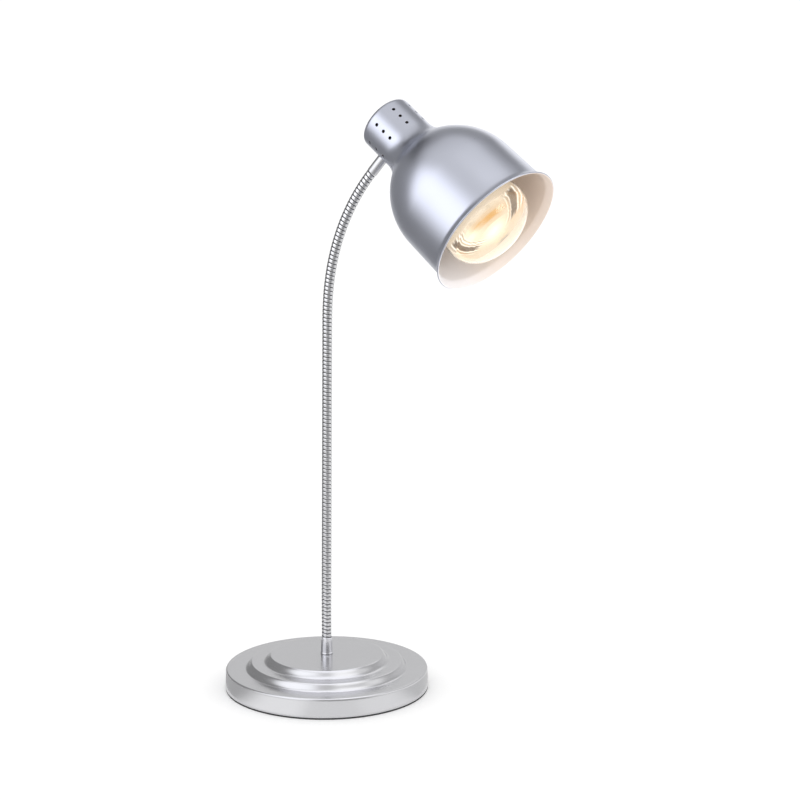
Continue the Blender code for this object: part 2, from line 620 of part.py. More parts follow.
# ----------------------------------------------------------------------------
# bulb
# ----------------------------------------------------------------------------
def bulb_section(offset, n_dome, n_back):
    """Points (radius, t) of the glass from the front to the open neck."""
    pts = [(0.0, BULB_WIDE_T - BULB_DOME + offset)]
    for k in range(1, n_dome + 1):
        a = math.radians(90.0 * k / n_dome)
        pts.append(((BULB_R - offset) * math.sin(a), BULB_WIDE_T - (BULB_DOME - offset) * math.cos(a)))
    for k in range(1, n_back + 1):
        u = k / n_back
        # reflector: a parabola-like curve from the widest ring in to the neck
        t = BULB_WIDE_T + (BULB_NECK_T - BULB_WIDE_T) * u
        r = BULB_NECK_R + (BULB_R - BULB_NECK_R) * (1 - u ** 1.9) ** 0.92
        pts.append((r - offset, t))
    pts.append((BULB_NECK_R - 0.8 - offset, BULB_NECK_T + 12.0))
    pts.append((11.6 - offset, BULB_GLASS_END_T - 3.0))
    pts.append((11.6 - offset, BULB_GLASS_END_T + 4.0))
    return pts


def make_bulb(tip):
    hm = head_matrix()
    pivot = MOUTH - HEAD_AXIS * BULB_GLASS_END_T
    glass = material("bulb_glass", (1.0, 0.93, 0.8), 0.05, 0.0, 0.4, 0.8)
    outer = bulb_section(0.0, 6, 6)
    inner = bulb_section(BULB_WALL + 0.6, 4, 4)
    finish("bulb_glass", lathe(outer + list(reversed(inner)), 28), glass, hm, parent=tip, origin=pivot)
    brass = material("cap_nickel", (0.75, 0.73, 0.68), 0.3, 1.0)
    r = BULB_CAP_R
    e = BULB_END_T
    prof = [(12.1, BULB_GLASS_END_T - 2.0), (r, BULB_GLASS_END_T - 2.0), (r, e - 5.0), (r - 3.0, e - 3.0), (9.0, e - 3.0),
            (9.0, e - 3.8), (r - 1.6, e - 5.6), (12.1, e - 6.5)]
    finish("bulb_cap", lathe(prof, 20), brass, hm, parent=tip, origin=pivot)
    finish("bulb_contact", lathe([(0, e - 5.0), (8.6, e - 4.4), (8.6, e - 2.6), (4.8, e - 1.6), (4.4, e), (0, e)], 16),
           material("contact_glass", (0.08, 0.06, 0.10), 0.2), hm, parent=tip, origin=pivot)
    prof = [(0, 68.0), (3.0, 68.0), (3.4, 70.0), (3.4, 96.0), (8.5, 118.0), (8.5, 121.0), (2.0, 124.0), (0, 124.0)]
    finish("bulb_stem", lathe(prof, 12), material("stem_glass", (0.85, 0.88, 0.9), 0.1, 0.0, 0.6), hm, parent=tip, origin=pivot)
    # filament: an open ring of wire in front of the stem
    rings = []
    n = 15
    for k in range(n):
        a = math.radians(200.0 + 320.0 * k / (n - 1))
        c = Vector((13.0 * math.cos(a), 13.0 * math.sin(a), 64.0))
        d = Vector((math.cos(a), math.sin(a), 0))
        rings.append([c + (d * math.cos(2 * math.pi * j / 6) + Vector((0, 0, 1)) * math.sin(2 * math.pi * j / 6)) * 1.2
                      for j in range(6)])
    finish("bulb_filament", loft(rings, False), material("filament", (1.0, 0.62, 0.25), 0.5, 0.0, 1.0, 0.0, 3.0), hm,
           parent=tip, origin=pivot)


def main():
    clear_scene()
    make_base()
    tip = make_neck()
    make_head(tip)
    make_bulb(tip)


main()
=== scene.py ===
"""Looks of the gooseneck heat lamp warmer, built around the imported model.

Every length below is in millimetres unless its name says otherwise, and every
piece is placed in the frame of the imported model: +Z up, origin at the centre
of the underside of the base.
"""

import math

import bmesh
import bpy
from mathutils import Matrix, Vector


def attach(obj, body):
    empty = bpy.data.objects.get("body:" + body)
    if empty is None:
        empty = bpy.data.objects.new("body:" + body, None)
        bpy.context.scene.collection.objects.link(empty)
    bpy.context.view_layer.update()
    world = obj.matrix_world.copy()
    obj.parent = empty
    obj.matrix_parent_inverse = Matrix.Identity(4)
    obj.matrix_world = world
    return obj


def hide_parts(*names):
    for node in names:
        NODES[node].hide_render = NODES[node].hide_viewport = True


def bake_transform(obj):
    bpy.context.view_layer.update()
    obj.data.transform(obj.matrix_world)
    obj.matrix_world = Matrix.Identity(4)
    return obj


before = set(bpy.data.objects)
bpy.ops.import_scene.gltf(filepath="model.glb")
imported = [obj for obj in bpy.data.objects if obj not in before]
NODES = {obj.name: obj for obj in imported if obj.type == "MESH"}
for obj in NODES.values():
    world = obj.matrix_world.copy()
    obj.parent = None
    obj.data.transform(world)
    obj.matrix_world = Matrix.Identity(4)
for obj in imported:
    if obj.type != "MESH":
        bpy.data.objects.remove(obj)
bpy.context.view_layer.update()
MM = 0.001
SCENE = bpy.context.scene

# ----------------------------------------------------------------------------
# dimensions, the same as those of the model
# ----------------------------------------------------------------------------
PAD_T, PAD_R = 2.0, 145.8
COVER_R_FOOT, COVER_R_TOP, COVER_T, COVER_Z0 = 146.0, 145.0, 1.2, 2.3
RIM_Z, TIER_Z, PLATEAU_Z = 29.6, 39.2, 48.8
STEP2_R0, STEP2_R1 = 118.0, 107.0
STEP1_R0, STEP1_R1 = 93.5, 79.5
RIM_EDGE_R = 2.2
NECK_R = 7.0
NECK_LEAN, NECK_TURN = 0.62, 38.34
NECK_BEND_AT, NECK_BEND_POW, NECK_LEN = 481.4, 1.244, 703.8
NECK_LINKS = 12
LOW_FERRULE_L = 24.5
LOW_FERRULE_R0, LOW_FERRULE_R1 = 8.7, 7.75
UP_FERRULE_R = 7.4
HEAD_SWIVEL = -19.33
FERRULE_TO_AXIS, HEAD_LEN, HEAD_FERRULE_T = 63.6, 235.1, 202.1
CAP_R, CAP_EDGE_R, CAP_FILLET_R = 39.1, 6.0, 40.0
BELL_R, BELL_TAPER, SKIRT_T, LIP_T = 101.0, 1.5, 77.0, 12.0
SKIRT_R, MOUTH_R, BEAD_R, SHADE_T = 92.9, 99.2, 1.2, 1.2
VENT_COLUMNS, VENT_PITCH, VENT_T, VENT_R = 7, 46.5, (218.7, 204.6, 190.6), 2.3
BULB_R, BULB_WIDE_T, BULB_DOME = 62.5, 20.0, 41.0
BULB_NECK_R, BULB_NECK_T, BULB_CAP_R = 17.5, 104.0, 13.1
BULB_GLASS_END_T, BULB_END_T = 129.0, 154.0
COIL_PITCH = 5.5


def ease(u):
    return u * u * (3.0 - 2.0 * u)


def arc(cx, cz, r, a0, a1, n):
    return [(cx + r * math.cos(math.radians(a0 + (a1 - a0) * k / n)),
             cz + r * math.sin(math.radians(a0 + (a1 - a0) * k / n))) for k in range(n + 1)]


def neck_angle(s):
    u = min(max((s - NECK_BEND_AT) / (NECK_LEN - NECK_BEND_AT), 0.0), 1.0)
    lean = NECK_LEAN * min(max((s - LOW_FERRULE_L) / 60.0, 0.0), 1.0)
    return math.radians(lean + (NECK_TURN - lean) * u ** NECK_BEND_POW)


_STEP = 0.25
_line = [(0.0, PLATEAU_Z)]
_s = 0.0
while _s < NECK_LEN + 12.0:
    _a = neck_angle(_s + _STEP / 2)
    _line.append((_line[-1][0] + math.sin(_a) * _STEP, _line[-1][1] + math.cos(_a) * _STEP))
    _s += _STEP


def neck_point(s):
    i = min(max(int(s / _STEP), 0), len(_line) - 2)
    f = s / _STEP - i
    x = _line[i][0] + (_line[i + 1][0] - _line[i][0]) * f
    z = _line[i][1] + (_line[i + 1][1] - _line[i][1]) * f
    a = neck_angle(s)
    return Vector((x, 0.0, z)), Vector((math.sin(a), 0.0, math.cos(a)))


def frame_at(point, zdir):
    z = zdir.normalized()
    x = Vector((0, 1, 0)).cross(z).normalized()
    y = z.cross(x)
    m = Matrix((x, y, z)).transposed().to_4x4()
    m.translation = point
    return m


PITCH = (NECK_LEN - LOW_FERRULE_L) / (NECK_LINKS + 1)
HINGE_S = [LOW_FERRULE_L + PITCH * (i + 0.5) for i in range(NECK_LINKS + 1)]
JUNCTION, FERRULE_DIR = neck_point(NECK_LEN)
AXIS_POINT = JUNCTION + FERRULE_DIR * FERRULE_TO_AXIS
HEAD_AXIS = Matrix.Rotation(math.radians(HEAD_SWIVEL), 3, FERRULE_DIR) @ Vector(
    (FERRULE_DIR.z, 0.0, -FERRULE_DIR.x))
MOUTH = AXIS_POINT + HEAD_AXIS * HEAD_FERRULE_T


def head_matrix():
    z = -HEAD_AXIS
    x = FERRULE_DIR.copy()
    y = z.cross(x)
    m = Matrix((x, y, z)).transposed().to_4x4()
    m.translation = MOUTH
    return m


HEAD = head_matrix()


# ----------------------------------------------------------------------------
# camera
# ----------------------------------------------------------------------------
def make_camera():
    cam = bpy.data.cameras.new("camera")
    ob = bpy.data.objects.new("camera", cam)
    SCENE.collection.objects.link(ob)
    dist, azimuth = 2.822384, math.radians(17.56)
    ob.location = (dist * math.sin(azimuth), -dist * math.cos(azimuth), 0.962438)
    ob.rotation_euler = (math.radians(90.0 - 12.5), 0.0, math.radians(17.56 - 2.141))
    cam.sensor_width = 36.0
    cam.lens = 2049.147 * 36.0 / 800.0
    cam.shift_x = 0.0
    cam.shift_y = (457.777 - 400.0) / 800.0
    cam.clip_start, cam.clip_end = 0.05, 60.0
    cam.dof.use_dof = False
    SCENE.camera = ob


make_camera()


# ----------------------------------------------------------------------------
# node helpers
# ----------------------------------------------------------------------------
class Tree:
    """A few shorthands for building a material's nodes."""

    def __init__(self, name, matrix=None):
        self.matrix = matrix
        self.m = bpy.data.materials.new(name)
        self.m.use_nodes = True
        self.t = self.m.node_tree
        self.p = self.t.nodes["Principled BSDF"]

    def node(self, kind, **values):
        n = self.t.nodes.new(kind)
        for k, v in values.items():
            setattr(n, k, v)
        return n

    def link(self, a, b):
        self.t.links.new(a, b)

    def coord(self):
        """Object coordinates, in metres; turned into the piece's own frame where it has one."""
        co = self.node("ShaderNodeTexCoord").outputs["Object"]
        if self.matrix is None:
            return co
        sub = self.node("ShaderNodeVectorMath", operation="SUBTRACT")
        self.link(co, sub.inputs[0])
        sub.inputs[1].default_value = self.matrix.translation * MM
        turned_co = self.node("ShaderNodeCombineXYZ")
        for i in range(3):
            dot = self.node("ShaderNodeVectorMath", operation="DOT_PRODUCT")
            self.link(sub.outputs["Vector"], dot.inputs[0])
            dot.inputs[1].default_value = self.matrix.col[i].to_3d()
            self.link(dot.outputs["Value"], turned_co.inputs[i])
        return turned_co.outputs[0]

    def noise(self, vec, scale, detail=3.0, rough=0.55, stretch=None):
        n = self.node("ShaderNodeTexNoise")
        n.inputs["Scale"].default_value = scale
        n.inputs["Detail"].default_value = detail
        n.inputs["Roughness"].default_value = rough
        if stretch is not None:
            mp = self.node("ShaderNodeMapping")
            mp.inputs["Scale"].default_value = stretch
            self.link(vec, mp.inputs["Vector"])
            vec = mp.outputs["Vector"]
        self.link(vec, n.inputs["Vector"])
        return n.outputs["Fac"]

    def math(self, op, a, b=None, c=None, clamp=False):
        n = self.node("ShaderNodeMath", operation=op, use_clamp=clamp)
        for i, v in enumerate((a, b, c)):
            if v is None:
                continue
            if isinstance(v, (int, float)):
                n.inputs[i].default_value = v
            else:
                self.link(v, n.inputs[i])
        return n.outputs[0]

    def ramp(self, fac, stops, ease_in=False):
        n = self.node("ShaderNodeValToRGB")
        e = n.color_ramp.elements
        while len(e) > 1:
            e.remove(e[-1])
        e[0].position, e[0].color = stops[0][0], (*stops[0][1], 1.0)
        for pos, col in stops[1:]:
            x = e.new(pos)
            x.color = (*col, 1.0)
        if ease_in:
            n.color_ramp.interpolation = "EASE"
        self.link(fac, n.inputs["Fac"])
        return n.outputs["Color"]

    def map(self, v, a, b, c, d):
        n = self.node("ShaderNodeMapRange")
        for k, x in zip(("From Min", "From Max", "To Min", "To Max"), (a, b, c, d)):
            n.inputs[k].default_value = x
        self.link(v, n.inputs["Value"])
        return n.outputs["Result"]

    def bump(self, height, distance, strength=1.0, normal=None):
        n = self.node("ShaderNodeBump")
        n.inputs["Strength"].default_value = strength
        n.inputs["Distance"].default_value = distance
        self.link(height, n.inputs["Height"])
        if normal is not None:
            self.link(normal, n.inputs["Normal"])
        return n.outputs["Normal"]

    def radius(self, vec):
        """Distance from the local Z axis."""
        s = self.node("ShaderNodeSeparateXYZ")
        self.link(vec, s.inputs[0])
        xx = self.math("MULTIPLY", s.outputs[0], s.outputs[0])
        yy = self.math("MULTIPLY", s.outputs[1], s.outputs[1])
        return self.math("SQRT", self.math("ADD", xx, yy)), s.outputs[2]

    def set(self, **values):
        for k, v in values.items():
            self.p.inputs[k.replace("_", " ")].default_value = v
        return self


def spun_metal(name, color, rough, metallic=1.0, line=0.45, line_height=0.004, cloud=0.05, flake=0.0, matrix=None,
               painted_light_below=None):
    """Metal turned on a lathe: faint rings round the local Z axis, soft clouding.
    below = (height in mm, factor) makes what lies under that height brighter: painted light on one and the same metal."""
    t = Tree(name, matrix)
    co = t.coord()
    r, z = t.radius(co)
    run = t.math("ADD", r, t.math("MULTIPLY", z, 0.85))
    comb = t.node("ShaderNodeCombineXYZ")
    t.link(run, comb.inputs[0])
    rings = t.noise(comb.outputs[0], 1.0 / (line * MM), 2.0, 0.5)
    soft = t.noise(co, 16.0, 3.0, 0.55)
    fine = t.noise(co, 900.0, 2.0, 0.6)
    mix = t.math("ADD", t.math("MULTIPLY", soft, 0.75), t.math("MULTIPLY", rings, 0.25))
    lo = [c * (1 - cloud) for c in color]
    hi = [min(1.0, c * (1 + cloud)) for c in color]
    tone = t.ramp(mix, [(0.3, lo), (0.7, hi)])
    # painted light: the part under the given height is brightened
    if painted_light_below:
        height, factor = painted_light_below
        painted_light_gain = t.map(z, (height - 1.6) * MM, (height - 0.2) * MM, factor, 1.0)
        scale = t.node("ShaderNodeVectorMath", operation="SCALE")
        t.link(tone, scale.inputs[0])
        t.link(painted_light_gain, scale.inputs["Scale"])
        tone = scale.outputs["Vector"]
    t.link(tone, t.p.inputs["Base Color"])
    rr = t.math("ADD", t.map(soft, 0.3, 0.7, rough - 0.03, rough + 0.03), t.map(rings, 0.3, 0.7, -0.015, 0.015))
    t.link(rr, t.p.inputs["Roughness"])
    h = t.math("ADD", rings, t.math("MULTIPLY", fine, flake))
    t.link(t.bump(h, line_height * MM, 0.6), t.p.inputs["Normal"])
    t.set(Metallic=metallic)
    return t.m


def grained(name, lo, hi, rough, scale=220.0, height=0.05, metallic=0.0, spread=0.05, detail=4.0, **sockets):
    """Plain stuff with a fine grain: plastic, rubber, iron, ceramic, zinc."""
    t = Tree(name)
    co = t.coord()
    n = t.noise(co, scale, detail, 0.6)
    big = t.noise(co, scale / 12.0, 2.0, 0.5)
    f = t.math("ADD", t.math("MULTIPLY", n, 0.5), t.math("MULTIPLY", big, 0.5))
    t.link(t.ramp(f, [(0.32, lo), (0.68, hi)]), t.p.inputs["Base Color"])
    t.link(t.map(f, 0.3, 0.7, rough + spread, rough - spread), t.p.inputs["Roughness"])
    t.link(t.bump(n, height * MM, 0.7), t.p.inputs["Normal"])
    t.set(Metallic=metallic, **sockets)
    return t.m


# ----------------------------------------------------------------------------
# materials
# ----------------------------------------------------------------------------
UPPER = frame_at(AXIS_POINT, -FERRULE_DIR)
# the rim wall under RIM_Z is brightened 1.16 times over the top: painted light on the one pressed cover
M_BASE = spun_metal("base_silver", (0.53, 0.53, 0.545), 0.225, 0.87, 0.5, 0.0008, 0.012, flake=0.05, painted_light_below=(RIM_Z, 1.16))
M_SHADE = spun_metal("shade_silver", (0.55, 0.568, 0.645), 0.31, 0.96, 0.6, 0.002, 0.012, flake=0.3, matrix=HEAD)
M_FERRULE = spun_metal("ferrule_satin", (0.74, 0.74, 0.775), 0.22, 1.0, 0.25, 0.002, 0.02)
# the same satin steel as the lower ferrule, made darker: painted shade on this copy
M_FERRULE_UP_SHADED = spun_metal("ferrule_satin_upper_shaded", (0.60, 0.60, 0.615), 0.33, 1.0, 0.25, 0.002, 0.02, matrix=UPPER)
M_ZINC = grained("zinc_plate", (0.52, 0.53, 0.55), (0.66, 0.67, 0.68), 0.36, 300.0, 0.02, 1.0)
M_SCREW = grained("screw_zinc", (0.50, 0.50, 0.49), (0.68, 0.68, 0.66), 0.3, 500.0, 0.02, 1.0)
M_IRON = grained("cast_iron", (0.07, 0.07, 0.075), (0.16, 0.16, 0.165), 0.62, 260.0, 0.25, 0.6)
M_RUBBER = grained("black_rubber", (0.012, 0.012, 0.013), (0.030, 0.030, 0.032), 0.72, 520.0, 0.08)
M_SHEATH = grained("lead_sheath", (0.018, 0.018, 0.020), (0.040, 0.040, 0.044), 0.5, 400.0, 0.04)
M_PLASTIC = grained("terminal_plastic", (0.78, 0.78, 0.73), (0.86, 0.86, 0.82), 0.42, 300.0, 0.03)
M_CERAMIC = grained("steatite", (0.76, 0.74, 0.68), (0.88, 0.865, 0.82), 0.32, 180.0, 0.05, Coat_Weight=0.3,
                    Coat_Roughness=0.15)
M_BRASS = grained("brass", (0.62, 0.44, 0.18), (0.82, 0.64, 0.33), 0.28, 350.0, 0.02, 1.0)
M_NICKEL = grained("nickel", (0.58, 0.56, 0.52), (0.74, 0.72, 0.68), 0.26, 350.0, 0.02, 1.0)
M_VITRITE = grained("vitrite", (0.015, 0.012, 0.022), (0.05, 0.035, 0.06), 0.12, 300.0, 0.03)


def coil_material():
    """Bright coil wire; the colour follows the position across the wire and falls from the crown down the flanks to
    near black: painted shade in the grooves between the turns."""
    t = Tree("coil_steel")
    a = t.node("ShaderNodeAttribute", attribute_name="across")
    crown = a.outputs["Fac"]
    co = t.coord()
    n = t.noise(co, 300.0, 3.0, 0.6)
    soft = t.noise(co, 22.0, 2.0, 0.5)
    f = t.math("ADD", t.math("MULTIPLY", crown, 0.8), t.math("MULTIPLY", n, 0.2))
    # painted shade: near black in the grooves, bright on the crown
    t.link(t.ramp(f, [(0.05, (0.06, 0.06, 0.065)), (0.40, (0.36, 0.36, 0.37)), (0.85, (0.70, 0.70, 0.715))]),
           t.p.inputs["Base Color"])
    t.link(t.math("ADD", t.map(soft, 0.3, 0.7, 0.16, 0.22), t.map(crown, 0.0, 1.0, 0.18, 0.0)),
           t.p.inputs["Roughness"])
    t.link(t.bump(n, 0.01 * MM, 0.5), t.p.inputs["Normal"])
    t.set(Metallic=1.0)
    return t.m


def groove_shade_core_material():
    # near black: painted shade for the depth of the grooves between the turns
    t = Tree("coil_core_groove_shade")
    co = t.coord()
    n = t.noise(co, 260.0, 3.0, 0.6)
    t.link(t.ramp(n, [(0.3, (0.035, 0.035, 0.037)), (0.7, (0.085, 0.085, 0.09))]), t.p.inputs["Base Color"])
    t.link(t.map(n, 0.3, 0.7, 0.5, 0.38), t.p.inputs["Roughness"])
    t.link(t.bump(n, 0.03 * MM, 0.6), t.p.inputs["Normal"])
    t.set(Metallic=0.8)
    return t.m


def enamel_material():
    """White stoved enamel inside the shade, with a little orange peel, and painted light and shade in its colour."""
    t = Tree("shade_enamel", HEAD)
    co = t.coord()
    peel = t.noise(co, 340.0, 2.0, 0.5)
    soft = t.noise(co, 14.0, 2.0, 0.5)
    # painted light and shade: the bulb's warm glow and the darker far wall are painted into the colour, white on one
    # side of the inside, cream to peach and darker on the other
    s = t.node("ShaderNodeSeparateXYZ")
    t.link(co, s.inputs[0])
    high = t.math("ADD", t.math("MULTIPLY", s.outputs[0], 0.62), t.math("MULTIPLY", s.outputs[1], 0.78))
    tone = t.ramp(t.math("ADD", t.map(high, -0.085, 0.09, 0.0, 1.0), t.map(soft, 0.3, 0.7, -0.03, 0.03)),
                  [(0.0, (0.945, 0.93, 0.955)), (0.35, (0.93, 0.895, 0.90)), (0.62, (0.90, 0.81, 0.755)), (1.0, (0.84, 0.72, 0.64))])
    # painted shade: deep in the cap the colour falls to about a sixth
    painted_cap_shade = t.node("ShaderNodeVectorMath", operation="SCALE")
    t.link(tone, painted_cap_shade.inputs[0])
    t.link(t.map(s.outputs[2], 0.12, 0.175, 1.0, 0.16), painted_cap_shade.inputs["Scale"])
    t.link(painted_cap_shade.outputs["Vector"], t.p.inputs["Base Color"])
    t.link(t.map(soft, 0.3, 0.7, 0.36, 0.30), t.p.inputs["Roughness"])
    t.link(t.bump(peel, 0.02 * MM, 0.5), t.p.inputs["Normal"])
    return t.m


M_COIL, M_GROOVE_SHADE_CORE, M_ENAMEL = coil_material(), groove_shade_core_material(), enamel_material()


# ----------------------------------------------------------------------------
# mesh helpers
# ----------------------------------------------------------------------------
def put(name, bm, mats, matrix=None, body=None, slot=None, replaces=(), angle=30.0, recalc=True):
    """A bmesh in local millimetres becomes an object in metres that rides a body.
    Its own axes stay those of the whole, so that its box is the true one."""
    if recalc:
        bmesh.ops.recalc_face_normals(bm, faces=bm.faces)
    if matrix is not None:
        bmesh.ops.transform(bm, matrix=matrix, verts=bm.verts)
    bmesh.ops.scale(bm, vec=(MM, MM, MM), verts=bm.verts)
    me = bpy.data.meshes.new(name)
    bm.to_mesh(me)
    bm.free()
    ob = bpy.data.objects.new(name, me)
    SCENE.collection.objects.link(ob)
    for m in mats if isinstance(mats, (list, tuple)) else [mats]:
        me.materials.append(m)
    me.shade_smooth()
    me.set_sharp_from_angle(angle=math.radians(angle))
    if replaces:
        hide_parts(*replaces)
    if body:
        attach(ob, body)
    return ob


def spin(profile, n, closed=True, mat_of=None, phase=0.0):
    """Lathe a profile of (radius, z) points. Points on the axis become poles.
    mat_of(i) gives the material index of the strip from point i to point i + 1."""
    bm = bmesh.new()
    rows = []
    for r, z in profile:
        if r < 1e-6:
            rows.append([bm.verts.new((0.0, 0.0, z))])
        else:
            rows.append([bm.verts.new((r * math.cos(2 * math.pi * k / n + phase), r * math.sin(2 * math.pi * k / n + phase), z))
                         for k in range(n)])
    count = len(rows) if closed else len(rows) - 1
    for i in range(count):
        a, b = rows[i], rows[(i + 1) % len(rows)]
        if len(a) == 1 and len(b) == 1:
            continue
        for k in range(n):
            q = (k + 1) % n
            if len(a) == 1:
                f = bm.faces.new((a[0], b[k], b[q]))
            elif len(b) == 1:
                f = bm.faces.new((a[k], b[0], a[q]))
            else:
                f = bm.faces.new((a[k], b[k], b[q], a[q]))
            if mat_of:
                f.material_index = mat_of(i)
    return bm


def turned(name, profile, n, mats, matrix=None, closed=None, **kw):
    if closed is None:
        closed = not (profile[0][0] < 1e-6 and profile[-1][0] < 1e-6)
    return put(name, spin(profile, n, closed, kw.pop("mat_of", None)), mats, matrix, **kw)


def rounded(points, radii, n=4):
    """Round the corners of a (radius, z) polyline; radii gives one value a point, 0 keeps it sharp."""
    out = []
    m = len(points)
    for i, (p, r) in enumerate(zip(points, radii)):
        if r <= 0 or i in (0, m - 1) and r <= 0:
            out.append(p)
            continue
        a, b, c = Vector(points[i - 1]), Vector(p), Vector(points[(i + 1) % m])
        u, v = (a - b), (c - b)
        lu, lv = u.length, v.length
        u.normalize(), v.normalize()
        ang = math.acos(max(-1.0, min(1.0, u.dot(v))))
        if ang > math.pi - 0.02:
            out.append(p)
            continue
        d = min(r / math.tan(ang / 2), lu * 0.45, lv * 0.45)
        rad = d * math.tan(ang / 2)
        centre = b + (u + v).normalized() * (rad / math.sin(ang / 2))
        s, e = b + u * d - centre, b + v * d - centre
        for k in range(n + 1):
            t = k / n
            a0 = math.atan2(s.y, s.x)
            a1 = math.atan2(e.y, e.x)
            da = (a1 - a0 + math.pi) % (2 * math.pi) - math.pi
            out.append((centre.x + rad * math.cos(a0 + da * t), centre.y + rad * math.sin(a0 + da * t)))
    return out


class Skin:
    """One skin of a turned sheet: a grid of (row, column) vertices in which round
    holes can be opened, each in a block of cells."""

    def __init__(self, bm, profile, n):
        self.bm, self.profile, self.n = bm, profile, n
        self.rows = [[bm.verts.new((r * math.cos(2 * math.pi * k / n), r * math.sin(2 * math.pi * k / n), z)) for k in range(n)]
                     if r > 1e-6 else [bm.verts.new((0, 0, z))] for r, z in profile]
        self.skip = set()
        self.holes = []

    def radius_at(self, z):
        """Radius of the wall at height z, taken between the rows that hold it."""
        for (r0, z0), (r1, z1) in zip(self.profile, self.profile[1:]):
            if min(z0, z1) <= z <= max(z0, z1) and abs(z1 - z0) > 1e-9 and abs(r1 - r0) < 3 * abs(z1 - z0):
                return r0 + (r1 - r0) * (z - z0) / (z1 - z0)
        raise ValueError(z)

    def hole(self, rows, cols, angle, z, radii, lift):
        """rows and cols are the block's first and last line; radii from outside in, lift is how far each ring
        stands towards the axis."""
        r0, r1 = rows
        c0, c1 = cols
        for i in range(r0, r1):
            for k in range(c0, c1):
                self.skip.add((i, k % self.n))
        loop = [self.rows[r0][k % self.n] for k in range(c0, c1)]
        loop += [self.rows[i][c1 % self.n] for i in range(r0, r1)]
        loop += [self.rows[r1][k % self.n] for k in range(c1, c0, -1)]
        loop += [self.rows[i][c0 % self.n] for i in range(r1, r0, -1)]
        for i in range(r0 + 1, r1):
            for k in range(c0 + 1, c1):
                self.bm.verts.remove(self.rows[i][k % self.n])
                self.rows[i][k % self.n] = None
        base = self.radius_at(z)
        rings = [loop]
        dirs = []
        for v in loop:
            da = (math.atan2(v.co.y, v.co.x) - angle + math.pi) % (2 * math.pi) - math.pi
            dirs.append(math.atan2(v.co.z - z, da * base))
        for rad, up in zip(radii, lift):
            ring = []
            for d in dirs:
                zz = z + rad * math.sin(d)
                a = angle + rad * math.cos(d) / base
                rr = self.radius_at(zz) - up
                ring.append(self.bm.verts.new((rr * math.cos(a), rr * math.sin(a), zz)))
            rings.append(ring)
        self.holes.append(rings)
        return rings[-1]

    def fill(self, index, flip=False):
        m = len(self.rows)
        for i in range(m - 1):
            a, b = self.rows[i], self.rows[i + 1]
            for k in range(self.n):
                if (i, k) in self.skip:
                    continue
                q = (k + 1) % self.n
                if len(b) == 1:
                    vs = (a[k], a[q], b[0])
                elif len(a) == 1:
                    vs = (a[0], b[q], b[k])
                else:
                    vs = (a[k], a[q], b[q], b[k])
                self.bm.faces.new(vs).material_index = index(i) if callable(index) else index
        for rings in self.holes:
            for a, b in zip(rings, rings[1:]):
                for k in range(len(a)):
                    q = (k + 1) % len(a)
                    z = (a[k].co.z + a[q].co.z) / 2
                    self.bm.faces.new((a[k], a[q], b[q], b[k])).material_index = index(0) if callable(index) else index


def bridge(bm, a, b, index=0):
    for k in range(len(a)):
        q = (k + 1) % len(a)
        bm.faces.new((a[k], a[q], b[q], b[k])).material_index = index


# ----------------------------------------------------------------------------
# base
# ----------------------------------------------------------------------------
N_BASE = 240


def riser(r0, z0, r1, z1, n, steep=1.0):
    """S-shaped pressed riser: long and soft at its foot, tighter at its head.
    steep above 1 gathers the rise in a shorter part of the way."""
    out = []
    for k in range(1, n):
        u = k / n
        w = min(max((u - 0.95) * steep + 0.95, 0.0) / 0.95, 1.0)
        f = 0.3 * ease(u) + 0.7 * ease(w ** 1.35)
        out.append((r0 + (r1 - r0) * u, z0 + (z1 - z0) * f))
    return out


def spread(a, b, n):
    return [(a[0] + (b[0] - a[0]) * k / n, a[1] + (b[1] - a[1]) * k / n) for k in range(1, n)]


